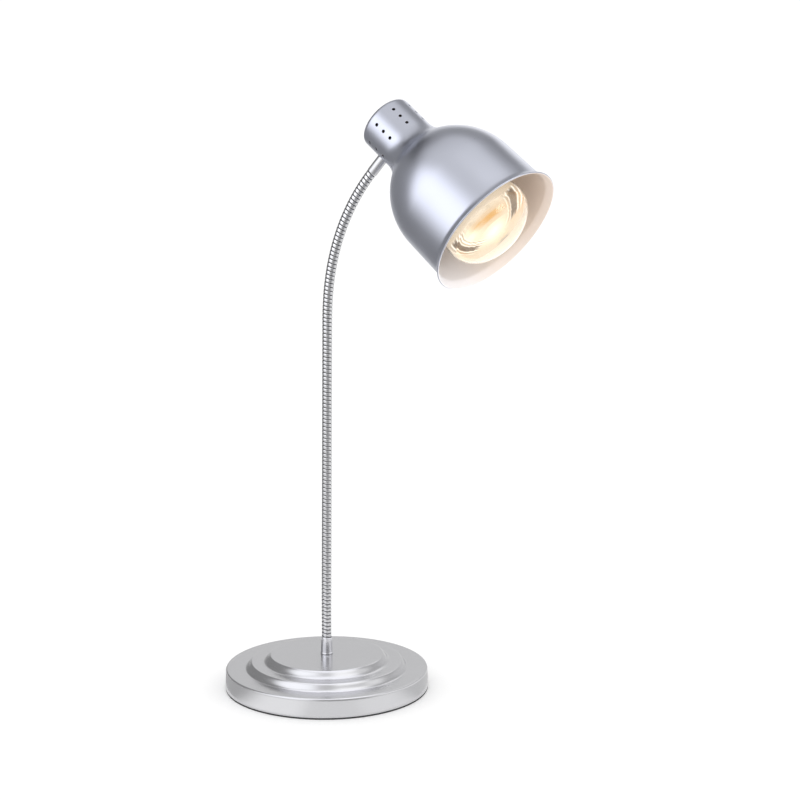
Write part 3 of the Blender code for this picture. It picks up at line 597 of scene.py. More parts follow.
def make_base():
    t, e = COVER_T, RIM_EDGE_R
    foot = (COVER_R_FOOT, COVER_Z0 + 0.4)
    head = (COVER_R_TOP + 0.15, RIM_Z - e)
    # outer skin, from the lower edge of the rim up and in to the nipple hole
    wall = [foot] + spread(foot, head, 14) + [head]
    outer = wall + arc(COVER_R_TOP - e, RIM_Z - e, e, 8, 90, 9)
    outer += spread(outer[-1], (STEP2_R0 + 1.0, RIM_Z), 6)
    outer += [(STEP2_R0, RIM_Z)] + riser(STEP2_R0, RIM_Z, STEP2_R1, TIER_Z, 22) + [(STEP2_R1, TIER_Z)]
    outer += [(STEP2_R1 - 4.0, TIER_Z), (STEP1_R0 + 4.0, TIER_Z)]
    outer += [(STEP1_R0, TIER_Z)] + riser(STEP1_R0, TIER_Z, STEP1_R1, PLATEAU_Z, 22, 1.18) + [(STEP1_R1, PLATEAU_Z)]
    outer += [(STEP1_R1 - 6.0, PLATEAU_Z), (52.0, PLATEAU_Z), (30.0, PLATEAU_Z), (14.0, PLATEAU_Z), (5.4, PLATEAU_Z)]
    # inner skin in the same order
    iwall = [(COVER_R_FOOT - t, COVER_Z0 + 0.4)] + spread((COVER_R_FOOT - t, COVER_Z0 + 0.4), (COVER_R_TOP - t + 0.1, RIM_Z - e), 14)
    inner = iwall + [(COVER_R_TOP - t + 0.1, RIM_Z - e)] + arc(COVER_R_TOP - e, RIM_Z - e, e - t, 8, 90, 4)
    inner += [(STEP2_R0 - 1.0, RIM_Z - t)] + riser(STEP2_R0 - 1.0, RIM_Z - t, STEP2_R1 - 0.4, TIER_Z - t, 8) + [(STEP2_R1 - 0.4, TIER_Z - t)]
    inner += [(STEP1_R0 - 1.0, TIER_Z - t)] + riser(STEP1_R0 - 1.0, TIER_Z - t, STEP1_R1 - 0.4, PLATEAU_Z - t, 8)
    inner += [(STEP1_R1 - 0.4, PLATEAU_Z - t), (40.0, PLATEAU_Z - t), (5.4, PLATEAU_Z - t)]
    bm = bmesh.new()
    so, si = Skin(bm, outer, N_BASE), Skin(bm, inner, N_BASE)
    # cord inlet in the rim at the back, on the +Y side
    q = N_BASE // 4
    zi = 15.0
    near = min(range(14), key=lambda i: abs(wall[i][1] - zi))
    a = so.hole((near - 4, near + 4), (q - 2, q + 2), math.pi / 2, zi, (6.2, 5.6, 5.3), (0.0, 0.0, 0.25))
    b = si.hole((near - 4, near + 4), (q - 2, q + 2), math.pi / 2, zi, (6.2, 5.3), (0.0, 0.0))
    so.fill(0), si.fill(0)
    bridge(bm, a, b)
    # lower edge, rolled round, and the bore at the middle
    edge = []
    for k in range(1, 5):
        w = math.pi * k / 5
        r = COVER_R_FOOT - t / 2 + t / 2 * math.cos(w)
        z = COVER_Z0 + 0.4 - 0.4 * math.sin(w)
        edge.append([bm.verts.new((r * math.cos(2 * math.pi * j / N_BASE), r * math.sin(2 * math.pi * j / N_BASE), z))
                     for j in range(N_BASE)])
    loops = [so.rows[0]] + edge + [si.rows[0]]
    for u, v in zip(loops, loops[1:]):
        bridge(bm, u, v)
    bridge(bm, so.rows[-1], si.rows[-1])
    put("base_shell", bm, M_BASE, body="base", slot="base_steel", replaces=["base_cover"], angle=28)

    # rubber pad: bevelled rim, and shallow ribs underneath
    prof = [(0.0, 0.35), (40.0, 0.35), (40.6, 0.0), (44.4, 0.0), (45.0, 0.35), (86.0, 0.35), (86.6, 0.0), (90.4, 0.0),
            (91.0, 0.35), (127.0, 0.35), (127.8, 0.0), (PAD_R - 0.6, 0.0), (PAD_R - 0.1, 0.2), (PAD_R, 0.6),
            (PAD_R, PAD_T - 0.4), (PAD_R - 0.4, PAD_T), (0.0, PAD_T)]
    turned("foot_pad", prof, 200, M_RUBBER, body="base", slot="pad_rubber", replaces=["base_pad"], angle=40)

    # grommet in the cord inlet
    m = frame_at(Vector((0, COVER_R_FOOT, 15.0)), Vector((0, 1, 0.0001)))
    prof = [(3.4, -7.0), (3.4, 5.1), (3.9, 5.6), (6.0, 5.6), (6.5, 5.3), (8.1, 2.9), (8.2, 2.4), (8.2, 1.5), (7.9, 1.15), (4.9, 1.1),
            (4.9, -2.3), (6.9, -2.3), (7.2, -2.6), (7.2, -6.6), (6.8, -7.0)]
    turned("cord_inlet_grommet", prof, 48, M_RUBBER, m, closed=True, body="base", slot="grommet_rubber",
           replaces=["cord_grommet"], angle=40)


# ----------------------------------------------------------------------------
# gooseneck
# ----------------------------------------------------------------------------
WIRE = [(-2.22, 5.98), (-2.30, 6.36), (-2.22, 6.69), (-1.98, 6.88), (-1.2, 6.98), (0.0, NECK_R), (1.2, 6.98), (1.98, 6.88),
        (2.22, 6.69), (2.30, 6.36), (2.22, 5.98), (1.2, 5.75), (-1.2, 5.75)]
ACROSS = [0.0, 0.12, 0.45, 0.85, 1.0, 1.0, 1.0, 0.85, 0.45, 0.12, 0.0, 0.0, 0.0]
WIRE_STEPS = 36


def coil_piece(name, sa, sb, nodes, hinge_s):
    """The coil between two stations: one closed wire wound round the centreline, and the inner tube that shows in its
    grooves, near black as painted shade down in them."""
    bm = bmesh.new()
    layer = bm.verts.layers.float.new("across")
    steps = int(round((sb - sa) / COIL_PITCH * WIRE_STEPS))
    start = int(round(sa / COIL_PITCH * WIRE_STEPS))
    rows = []
    for j in range(steps + 1):
        g = start + j
        s = g * COIL_PITCH / WIRE_STEPS
        phi = 2 * math.pi * g / WIRE_STEPS
        row = []
        for (off, r), w in zip(WIRE, ACROSS):
            p, d = neck_point(s + off)
            ex = Vector((d.z, 0.0, -d.x))
            ey = Vector((0, 1, 0))
            v = bm.verts.new(p + (ex * math.cos(phi) - ey * math.sin(phi)) * r)
            v[layer] = w
            row.append(v)
        rows.append(row)
    m = len(WIRE)
    for u, v in zip(rows, rows[1:]):
        for k in range(m):
            q = (k + 1) % m
            bm.faces.new((u[k], u[q], v[q], v[k]))
    bm.faces.new(rows[0])
    bm.faces.new(rows[-1])
    # inner tube, near black: painted shade in the grooves
    n, cols = 9, 28
    loops = []
    for i in range(n + 1):
        s = sa + (sb - sa) * i / n
        p, d = neck_point(s)
        ex, ey = Vector((d.z, 0.0, -d.x)), Vector((0, 1, 0))
        loops.append([[bm.verts.new(p + (ex * math.cos(2 * math.pi * k / cols) + ey * math.sin(2 * math.pi * k / cols)) * r)
                       for k in range(cols)] for r in (6.1, 4.6)])
    for i in range(n):
        for side in (0, 1):
            for k in range(cols):
                q = (k + 1) % cols
                f = bm.faces.new((loops[i][side][k], loops[i][side][q], loops[i + 1][side][q], loops[i + 1][side][k]))
                f.material_index = 1
    for i in (0, n):
        for k in range(cols):
            q = (k + 1) % cols
            f = bm.faces.new((loops[i][0][k], loops[i][0][q], loops[i][1][q], loops[i][1][k]))
            f.material_index = 1
    ob = put(name, bm, [M_COIL, M_GROOVE_SHADE_CORE], slot="neck_steel", replaces=nodes, angle=38)
    p, d = neck_point(hinge_s)
    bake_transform(ob)
    return ob


def make_neck():
    bounds = [18.0] + [LOW_FERRULE_L + PITCH * i for i in range(1, NECK_LINKS + 1)] + [NECK_LEN + 3.4]
    # pieces meet on whole steps of the winding, so their ends coincide
    unit = COIL_PITCH / WIRE_STEPS
    bounds = [round(x / unit) * unit for x in bounds]
    for i in range(NECK_LINKS + 1):
        nodes = []
        if i == 0:
            nodes.append("neck_root")
        nodes.append("neck_link_%02d" % (i + 1) if i < NECK_LINKS else "neck_tip")
        coil_piece("gooseneck_coil_%02d" % (i + 1), bounds[i], bounds[i + 1], nodes, HINGE_S[i])

    up = Matrix.Translation((0, 0, PLATEAU_Z))
    r0, r1, l = LOW_FERRULE_R0, LOW_FERRULE_R1, LOW_FERRULE_L
    prof = [(r0 - 0.35, 0.12), (r0, 0.45), (r0, 1.9), (r0 - 0.08, 2.25), (r0 - 0.30, 2.6), (r0 - 0.36, 3.2)]
    prof += [(r0 - 0.36 + (r1 - r0 + 0.36) * k / 6, 3.2 + (l - 4.2) * k / 6) for k in range(1, 7)]
    prof += [(r1 - 0.03, l - 0.65), (r1 - 0.14, l - 0.3), (r1 - 0.32, l - 0.06), (r1 - 0.45, l),
             (7.12, l - 0.2), (7.08, l - 0.8), (7.08, 16.0), (5.3, 16.0), (5.3, 0.12)]
    turned("ferrule_lower", prof, 96, M_FERRULE, up, closed=True, body="base", slot="ferrule_steel",
           replaces=["lower_ferrule"], angle=35)

    # upper ferrule: its head end is shaped to the round wall of the cap
    fm = frame_at(AXIS_POINT, -FERRULE_DIR)
    n = 96
    rr, fl1 = UP_FERRULE_R, FERRULE_TO_AXIS
    side = fm.inverted().to_3x3() @ HEAD_AXIS      # the cap's axis in the ferrule's frame
    bm = bmesh.new()
    prof = [(rr, None), (rr, 42.0), (rr, 50.0), (rr, fl1 - 0.9), (rr - 0.07, fl1 - 0.45), (rr - 0.24, fl1 - 0.12), (rr - 0.33, fl1),
            (7.1, fl1 - 0.1), (7.06, fl1 - 0.6), (7.06, fl1 - 6.0), (5.3, fl1 - 6.0), (5.3, None)]
    rows = []
    for r, z in prof:
        row = []
        for k in range(n):
            a = 2 * math.pi * k / n
            x, y = r * math.cos(a), r * math.sin(a)
            zz = z
            if z is None:
                across = x * -side.y + y * side.x
                zz = math.sqrt((CAP_R + 0.04) ** 2 - across ** 2)
            row.append(bm.verts.new((x, y, zz)))
        rows.append(row)
    for i in range(len(rows)):
        bridge(bm, rows[i], rows[(i + 1) % len(rows)])
    put("ferrule_upper", bm, M_FERRULE_UP_SHADED, fm, body="head", slot="ferrule_steel", replaces=["upper_ferrule"], angle=35)


# ----------------------------------------------------------------------------
# shade
# ----------------------------------------------------------------------------
N_SHADE = 240


def shade_section(offset, n_lip, n_bell, n_fillet, n_edge):
    tau = math.radians(BELL_TAPER)
    rs = SKIRT_R - (SKIRT_T - LIP_T) * math.tan(tau)
    ra, rf = BELL_R - offset, CAP_FILLET_R + offset
    cos_phi = (BELL_R * math.cos(tau) + CAP_FILLET_R - (rs - CAP_R)) / (BELL_R + CAP_FILLET_R)
    phi = math.acos(cos_phi)
    tc = SKIRT_T - BELL_R * math.sin(tau)
    rc = rs - BELL_R * math.cos(tau)
    t3 = tc + (BELL_R + CAP_FILLET_R) * math.sin(phi)
    lip, wall, bell, fillet, edge = [], [], [], [], []
    for k in range(n_lip):
        u = k / n_lip
        lip.append((SKIRT_R + (MOUTH_R - 1.0 - SKIRT_R) * (0.5 - 0.5 * ease(u) + 0.5 * (1 - u) ** 1.9) - offset, LIP_T * u))
    wall = [(SKIRT_R - offset, LIP_T)]
    for k in range(n_bell + 1):
        a = tau + (phi - tau) * k / n_bell
        bell.append((rc + ra * math.cos(a), tc + ra * math.sin(a)))
    wall += spread(wall[0], bell[0], 8)
    for k in range(1, n_fillet + 1):
        a = phi * (1 - k / n_fillet)
        fillet.append((CAP_R + CAP_FILLET_R - rf * math.cos(a), t3 - rf * math.sin(a)))
    re = CAP_EDGE_R - offset
    for k in range(n_edge + 1):
        a = math.radians(90.0 * k / n_edge)
        edge.append((CAP_R - CAP_EDGE_R + re * math.cos(a), HEAD_LEN - CAP_EDGE_R + re * math.sin(a)))
    return lip, wall, bell, fillet, edge


def cap_lines(t_low, t_high):
    """Heights of the grid lines on the straight wall of the cap: one on each row of vents,
    about a millimetre apart, so that every vent sits in the middle of its own block."""
    lines = []
    marks = sorted(VENT_T)
    step = 1.0
    z = marks[0] - step * int((marks[0] - t_low - 0.35) / step)
    while z < marks[0] - 1e-6:
        lines.append(z)
        z += step
    for a, b in zip(marks, marks[1:]):
        n = 14
        lines += [a + (b - a) * k / n for k in range(n)]
    z = marks[-1]
    while z < t_high - 0.35:
        lines.append(z)
        z += step
    return lines


def make_shade():
    bm = bmesh.new()
    skins = []
    for off, counts in ((0.0, (10, 44, 18, 8)), (SHADE_T, (10, 36, 14, 6))):
        lip, wall, bell, fillet, edge = shade_section(off, *counts)
        lines = cap_lines(fillet[-1][1], edge[0][1])
        cap = [(CAP_R - off, z) for z in lines]
        top = [(27.0, HEAD_LEN - off), (18.0, HEAD_LEN - off), (9.0, HEAD_LEN - off), (0.0, HEAD_LEN - off)]
        if off > 0:
            lip = [p for p in lip if p[1] > 2.6]
        prof = lip + wall + bell + fillet + cap + edge + top
        if off == 0:
            prof = prof[1:]
        skins.append((Skin(bm, prof, N_SHADE), len(lip + wall + bell + fillet) - (1 if off == 0 else 0), lines))
    deg = N_SHADE / 360.0
    rims = []
    for which, (skin, first, lines) in enumerate(skins):
        ends = []
        specs = []
        for c in range(VENT_COLUMNS):
            a = math.radians(VENT_PITCH) * (c - (VENT_COLUMNS - 1) / 2)
            col = int(round(math.degrees(a) * deg))
            for t in VENT_T:
                row = min(range(len(lines)), key=lambda i: abs(lines[i] - t))
                specs.append((first + row, col, 3, a, t, VENT_R))
        row = min(range(len(lines)), key=lambda i: abs(lines[i] - HEAD_FERRULE_T))
        specs.append((first + row, N_SHADE // 2, 6, math.pi, HEAD_FERRULE_T, 5.4))
        for row, col, half, a, t, r in specs:
            if which == 0:
                radii, lift = (r + 0.42, r + 0.16, r + 0.03, r), (0.0, 0.03, 0.14, 0.32)
            else:
                radii, lift = (r + 0.3, r), (0.0, 0.0)
            ends.append(skin.hole((row - half, row + half), (col - half, col + half), a, t, radii, lift))
        rims.append(ends)
    skins[0][0].fill(0)
    skins[1][0].fill(1)
    for a, b in zip(*rims):
        bridge(bm, a, b, 0)
    # rolled bead between the two skins at the mouth
    loops = [skins[0][0].rows[0]]
    bead = arc(MOUTH_R - BEAD_R, BEAD_R, BEAD_R, 78, -152, 18)
    for r, z in bead:
        loops.append([bm.verts.new((r * math.cos(2 * math.pi * k / N_SHADE), r * math.sin(2 * math.pi * k / N_SHADE), z))
                      for k in range(N_SHADE)])
    loops.append(skins[1][0].rows[0])
    for i, (u, v) in enumerate(zip(loops, loops[1:])):
        bridge(bm, u, v, 0 if i < 13 else 1)
    put("shade_shell", bm, [M_SHADE, M_ENAMEL], HEAD, body="head", slot="shade_silver", replaces=["shade"], angle=35)


make_base()
make_neck()
make_shade()


# ----------------------------------------------------------------------------
# glass, reflector and glow of the bulb
# ----------------------------------------------------------------------------
def glass_material(name, haze):
    """Clear glass. haze is the warm light that hangs in it: strongest on the side of
    the front where the coil's light leaves it."""
    t = Tree(name, HEAD)
    co = t.coord()
    if haze:
        s = t.node("ShaderNodeSeparateXYZ")
        t.link(co, s.inputs[0])
        low = t.map(t.math("SUBTRACT", s.outputs[1], t.math("MULTIPLY", s.outputs[0], 0.35)), -0.02, 0.06, 0.15, 1.0)
        front = t.map(s.outputs[2], 0.016, 0.024, 1.0, 0.0)
        t.link(t.ramp(low, [(0.1, (0.9, 0.78, 0.62)), (0.9, (1.0, 0.88, 0.66))]), t.p.inputs["Emission Color"])
        t.link(t.math("MULTIPLY", t.math("MULTIPLY", low, front), haze), t.p.inputs["Emission Strength"])
    soft = t.noise(co, 26.0, 2.0, 0.5)
    ripple = t.noise(co, 40.0, 1.0, 0.5)
    t.link(t.ramp(soft, [(0.3, (0.985, 0.955, 0.915)), (0.7, (0.995, 0.98, 0.955))]), t.p.inputs["Base Color"])
    t.link(t.map(soft, 0.3, 0.7, 0.015, 0.04), t.p.inputs["Roughness"])
    t.link(t.bump(ripple, 0.15 * MM, 0.3), t.p.inputs["Normal"])
    t.set(IOR=1.46, Transmission_Weight=1.0)
    return t.m


def reflector_material():
    """Mirror film inside the back of the bulb. The lit coil shows in it as a warm
    cloud with a hot core, an orange smear and two dark bands near the edge. u and v
    run across the front plane, and lean with depth as the reflections do."""
    t = Tree("bulb_reflector", HEAD)
    co = t.coord()
    s = t.node("ShaderNodeSeparateXYZ")
    t.link(co, s.inputs[0])
    x, y, z = (t.math("MULTIPLY", s.outputs[i], 1000.0) for i in range(3))
    deep = t.math("SUBTRACT", z, BULB_WIDE_T)
    wob = t.map(t.noise(co, 28.0, 1.0, 0.5), 0.3, 0.7, -1.2, 1.2)
    u = t.math("ADD", t.math("ADD", x, t.math("MULTIPLY", deep, 0.517)), wob)
    v = t.math("ADD", t.math("SUBTRACT", y, t.math("MULTIPLY", deep, 2.114)), wob)

    def blob(cu, cv, su, sv, turn=0.0):
        c, n = math.cos(math.radians(turn)), math.sin(math.radians(turn))
        du, dv = t.math("SUBTRACT", u, cu), t.math("SUBTRACT", v, cv)
        a = t.math("ADD", t.math("MULTIPLY", du, c / su), t.math("MULTIPLY", dv, n / su))
        b = t.math("ADD", t.math("MULTIPLY", du, -n / sv), t.math("MULTIPLY", dv, c / sv))
        q = t.math("ADD", t.math("MULTIPLY", a, a), t.math("MULTIPLY", b, b))
        return t.math("EXPONENT", t.math("MULTIPLY", q, -1.0))

    def bow(cu, cv, r, half, soft, lo, hi):
        """An arc of a large ring, between two heights; half is half its width."""
        du, dv = t.math("SUBTRACT", u, cu), t.math("SUBTRACT", v, cv)
        d = t.math("SQRT", t.math("ADD", t.math("MULTIPLY", du, du), t.math("MULTIPLY", dv, dv)))
        off = t.math("ABSOLUTE", t.math("SUBTRACT", d, r))
        f = t.map(off, half, half + soft, 1.0, 0.0)
        f = t.math("MULTIPLY", f, t.map(v, lo, lo + 9.0, 0.0, 1.0))
        return t.math("MULTIPLY", f, t.map(v, hi - 9.0, hi, 1.0, 0.0), clamp=True), d

    # painted reflections: two dark arcs near the edge of the mirror
    left, dl = bow(33.0, -4.0, 80.0, 2.6, 2.6, -42.0, 33.0)
    right, dr = bow(-55.0, -28.3, 110.0, 3.4, 3.0, -12.0, 56.0)
    dark = t.math("MAXIMUM", left, right)
    # painted reflections: hair-thin rings beside the two dark arcs, bright and dark by turns
    near_l, _ = bow(33.0, -4.0, 78.0, 9.0, 6.0, -46.0, 38.0)
    near_r, _ = bow(-55.0, -28.3, 113.0, 10.0, 7.0, -16.0, 58.0)
    wave_l = t.math("MULTIPLY", t.math("SINE", t.math("MULTIPLY", dl, 1.35)), near_l)
    wave_r = t.math("MULTIPLY", t.math("SINE", t.math("MULTIPLY", dr, 1.15)), near_r)
    wave = t.math("ADD", wave_l, wave_r)
    lines = t.map(wave, -0.35, -0.95, 0.0, 0.8)
    white = t.map(wave, 0.25, 0.95, 0.0, 1.0)
    smear = t.math("MAXIMUM", blob(11.5, -3.0, 25.0, 13.5, 37.0), t.math("MULTIPLY", blob(-5.0, -15.0, 14.0, 10.0, 20.0), 0.85))
    hot = t.math("ADD", blob(-10.0, 36.0, 24.0, 20.0, 10.0), t.math("MULTIPLY", blob(-26.0, -10.0, 15.0, 20.0, 0.0), 0.85), clamp=True)
    edge = blob(34.0, 44.0, 26.0, 14.0, -40.0)

    def mix(fac, a, b):
        n = t.node("ShaderNodeMix", data_type="RGBA")
        t.link(fac, n.inputs[0])
        for i, c in ((6, a), (7, b)):
            if isinstance(c, tuple):
                n.inputs[i].default_value = (*c, 1.0)
            else:
                t.link(c, n.inputs[i])
        return n.outputs[2]

    glow = mix(hot, (0.50, 0.43, 0.33), (1.05, 1.02, 0.80))
    glow = mix(edge, glow, (0.60, 0.40, 0.26))
    glow = mix(smear, glow, (0.58, 0.34, 0.10))
    glow = mix(white, glow, (1.15, 1.12, 1.06))
    glow = mix(lines, glow, (0.24, 0.16, 0.10))
    glow = mix(dark, glow, (0.10, 0.075, 0.05))
    # painted reflection: the dark arcs and the smear also darken the film's own colour
    film = mix(dark, (0.44, 0.40, 0.35), (0.15, 0.12, 0.095))
    film = mix(smear, film, (0.32, 0.19, 0.09))
    t.link(film, t.p.inputs["Base Color"])
    t.link(glow, t.p.inputs["Emission Color"])
    t.link(t.map(t.noise(co, 40.0, 2.0, 0.5), 0.3, 0.7, 0.10, 0.17), t.p.inputs["Roughness"])
    t.link(t.bump(t.noise(co, 30.0, 1.0, 0.5), 0.4 * MM, 0.4), t.p.inputs["Normal"])
    t.set(Metallic=1.0, Emission_Strength=1.0)
    return t.m


def coil_glow_material():
    t = Tree("glowing_tungsten")
    co = t.coord()
    n = t.noise(co, 260.0, 2.0, 0.5)
    t.link(t.ramp(n, [(0.3, (0.50, 0.30, 0.14)), (0.7, (0.62, 0.42, 0.22))]), t.p.inputs["Base Color"])
    t.link(t.ramp(n, [(0.3, (1.0, 0.46, 0.13)), (0.7, (1.0, 0.62, 0.26))]), t.p.inputs["Emission Color"])
    t.link(t.map(n, 0.3, 0.7, 0.4, 0.5), t.p.inputs["Roughness"])
    t.set(Metallic=1.0, Emission_Strength=2.6)
    return t.m


M_GLASS, M_STEM_GLASS = glass_material("bulb_clear_glass", 0.17), glass_material("stem_clear_glass", 0.0)
M_MIRROR, M_GLOW = reflector_material(), coil_glow_material()
M_WIRE = grained("support_wire", (0.34, 0.33, 0.31), (0.50, 0.49, 0.46), 0.35, 500.0, 0.01, 1.0)
M_SOLDER = grained("solder", (0.50, 0.50, 0.50), (0.66, 0.66, 0.66), 0.42, 420.0, 0.05, 1.0)
M_THREAD = grained("threaded_steel", (0.46, 0.45, 0.40), (0.62, 0.60, 0.54), 0.34, 380.0, 0.03, 1.0)


# ----------------------------------------------------------------------------
# bulb and lampholder
# ----------------------------------------------------------------------------
def bulb_section(offset, n_dome, n_back, steps=0.0):
    """(radius, t) of the glass from the front pole to the open neck. steps adds the
    shallow moulded rings of the shoulder."""
    pts = [(0.0, BULB_WIDE_T - BULB_DOME + offset)]
    for k in range(1, n_dome + 1):
        a = math.radians(90.0 * k / n_dome)
        r = (BULB_R - offset) * math.sin(a)
        ring = 0.0
        for mid in (45.5, 50.5, 55.0, 58.6):
            ring += math.exp(-((r - mid) / 1.0) ** 2)
        lift = -steps * ring * (1 if r < BULB_R - offset - 0.6 else 0)
        pts.append((r + lift * math.sin(a), BULB_WIDE_T - (BULB_DOME - offset + lift) * math.cos(a)))
    for k in range(1, n_back + 1):
        u = k / n_back
        t = BULB_WIDE_T + (BULB_NECK_T - BULB_WIDE_T) * u
        r = BULB_NECK_R + (BULB_R - BULB_NECK_R) * (1 - u ** 1.9) ** 0.92
        pts.append((r - offset, t))
    pts.append((BULB_NECK_R - 0.35 - offset, BULB_NECK_T + 7.0))
    pts.append((BULB_NECK_R - 0.8 - offset, BULB_NECK_T + 12.0))
    pts.append((BULB_NECK_R - 2.2 - offset, BULB_NECK_T + 17.0))
    pts.append((11.6 - offset, BULB_GLASS_END_T - 3.0))
    pts.append((11.6 - offset, BULB_GLASS_END_T + 4.0))
    return pts


def threaded(bm, n, t0, t1, profile_r, depth, pitch=3.62, rows=70, phase=0.0, fade=1.6):
    """One threaded skin round the Z axis; returns its first and last ring."""
    rings = []
    for i in range(rows + 1):
        z = t0 + (t1 - t0) * i / rows
        edge = min(1.0, (z - t0) / fade, (t1 - z) / fade)
        ring = []
        for k in range(n):
            a = 2 * math.pi * k / n
            w = 0.5 - 0.5 * math.cos(2 * math.pi * (z / pitch - a / (2 * math.pi)) + phase)
            r = profile_r - depth * w * ease(max(0.0, edge))
            ring.append(bm.verts.new((r * math.cos(a), r * math.sin(a), z)))
        rings.append(ring)
    for a, b in zip(rings, rings[1:]):
        bridge(bm, a, b)
    return rings[0], rings[-1]


def ring_of(bm, n, r, z):
    return [bm.verts.new((r * math.cos(2 * math.pi * k / n), r * math.sin(2 * math.pi * k / n), z)) for k in range(n)]


def tube_along(bm, points, r, sides=10, index=0, closed_ends=True):
    """A round wire through the points, its frame carried along without twist."""
    pts = [Vector(p) for p in points]
    x, rows = None, []
    for i, p in enumerate(pts):
        d = (pts[min(i + 1, len(pts) - 1)] - pts[max(i - 1, 0)]).normalized()
        if x is None:
            x = d.orthogonal().normalized()
        x = (x - d * x.dot(d)).normalized()
        y = d.cross(x)
        rows.append([bm.verts.new(p + (x * math.cos(2 * math.pi * k / sides) + y * math.sin(2 * math.pi * k / sides)) * r)
                     for k in range(sides)])
    for a, b in zip(rows, rows[1:]):
        bridge(bm, a, b, index)
    if closed_ends:
        bm.faces.new(rows[0]).material_index = index
        bm.faces.new(rows[-1]).material_index = index


def cylinder(r, z0, z1, n=24, at=(0.0, 0.0, 0.0), along=(0.0, 0.0, 1.0)):
    bm = bmesh.new()
    d = Vector(along).normalized()
    x = d.orthogonal().normalized()
    y = d.cross(x)
    rows = [[bm.verts.new(Vector(at) + d * z + (x * math.cos(2 * math.pi * k / n) + y * math.sin(2 * math.pi * k / n)) * r)
             for k in range(n)] for z in (z0, z1)]
    bridge(bm, rows[0], rows[1])
    bm.faces.new(rows[0])
    bm.faces.new(rows[1])
    bmesh.ops.recalc_face_normals(bm, faces=bm.faces)
    return bm


def carve(bm, cutters, bevel=0.0, angle=30.0):
    """Bevel a solid and cut holes in it; everything in millimetres, returns a new bmesh."""
    made = []

    def temp(b, name):
        me = bpy.data.meshes.new(name)
        b.to_mesh(me)
        b.free()
        ob = bpy.data.objects.new(name, me)
        SCENE.collection.objects.link(ob)
        made.append(ob)
        return ob

    bmesh.ops.recalc_face_normals(bm, faces=bm.faces)
    ob = temp(bm, "carved")
    for c in cutters:
        tool = temp(c, "cutter")
        m = ob.modifiers.new("cut", "BOOLEAN")
        m.operation, m.object, m.solver = "DIFFERENCE", tool, "EXACT"
    if bevel:
        m = ob.modifiers.new("edge", "BEVEL")
        m.width, m.segments, m.limit_method, m.angle_limit = bevel, 2, "ANGLE", math.radians(angle)
    bpy.context.view_layer.update()
    dg = bpy.context.evaluated_depsgraph_get()
    me = bpy.data.meshes.new_from_object(ob.evaluated_get(dg))
    out = bmesh.new()
    out.from_mesh(me)
    bpy.data.meshes.remove(me)
    for o in made:
        data = o.data
        bpy.data.objects.remove(o)
        bpy.data.meshes.remove(data)
    return out


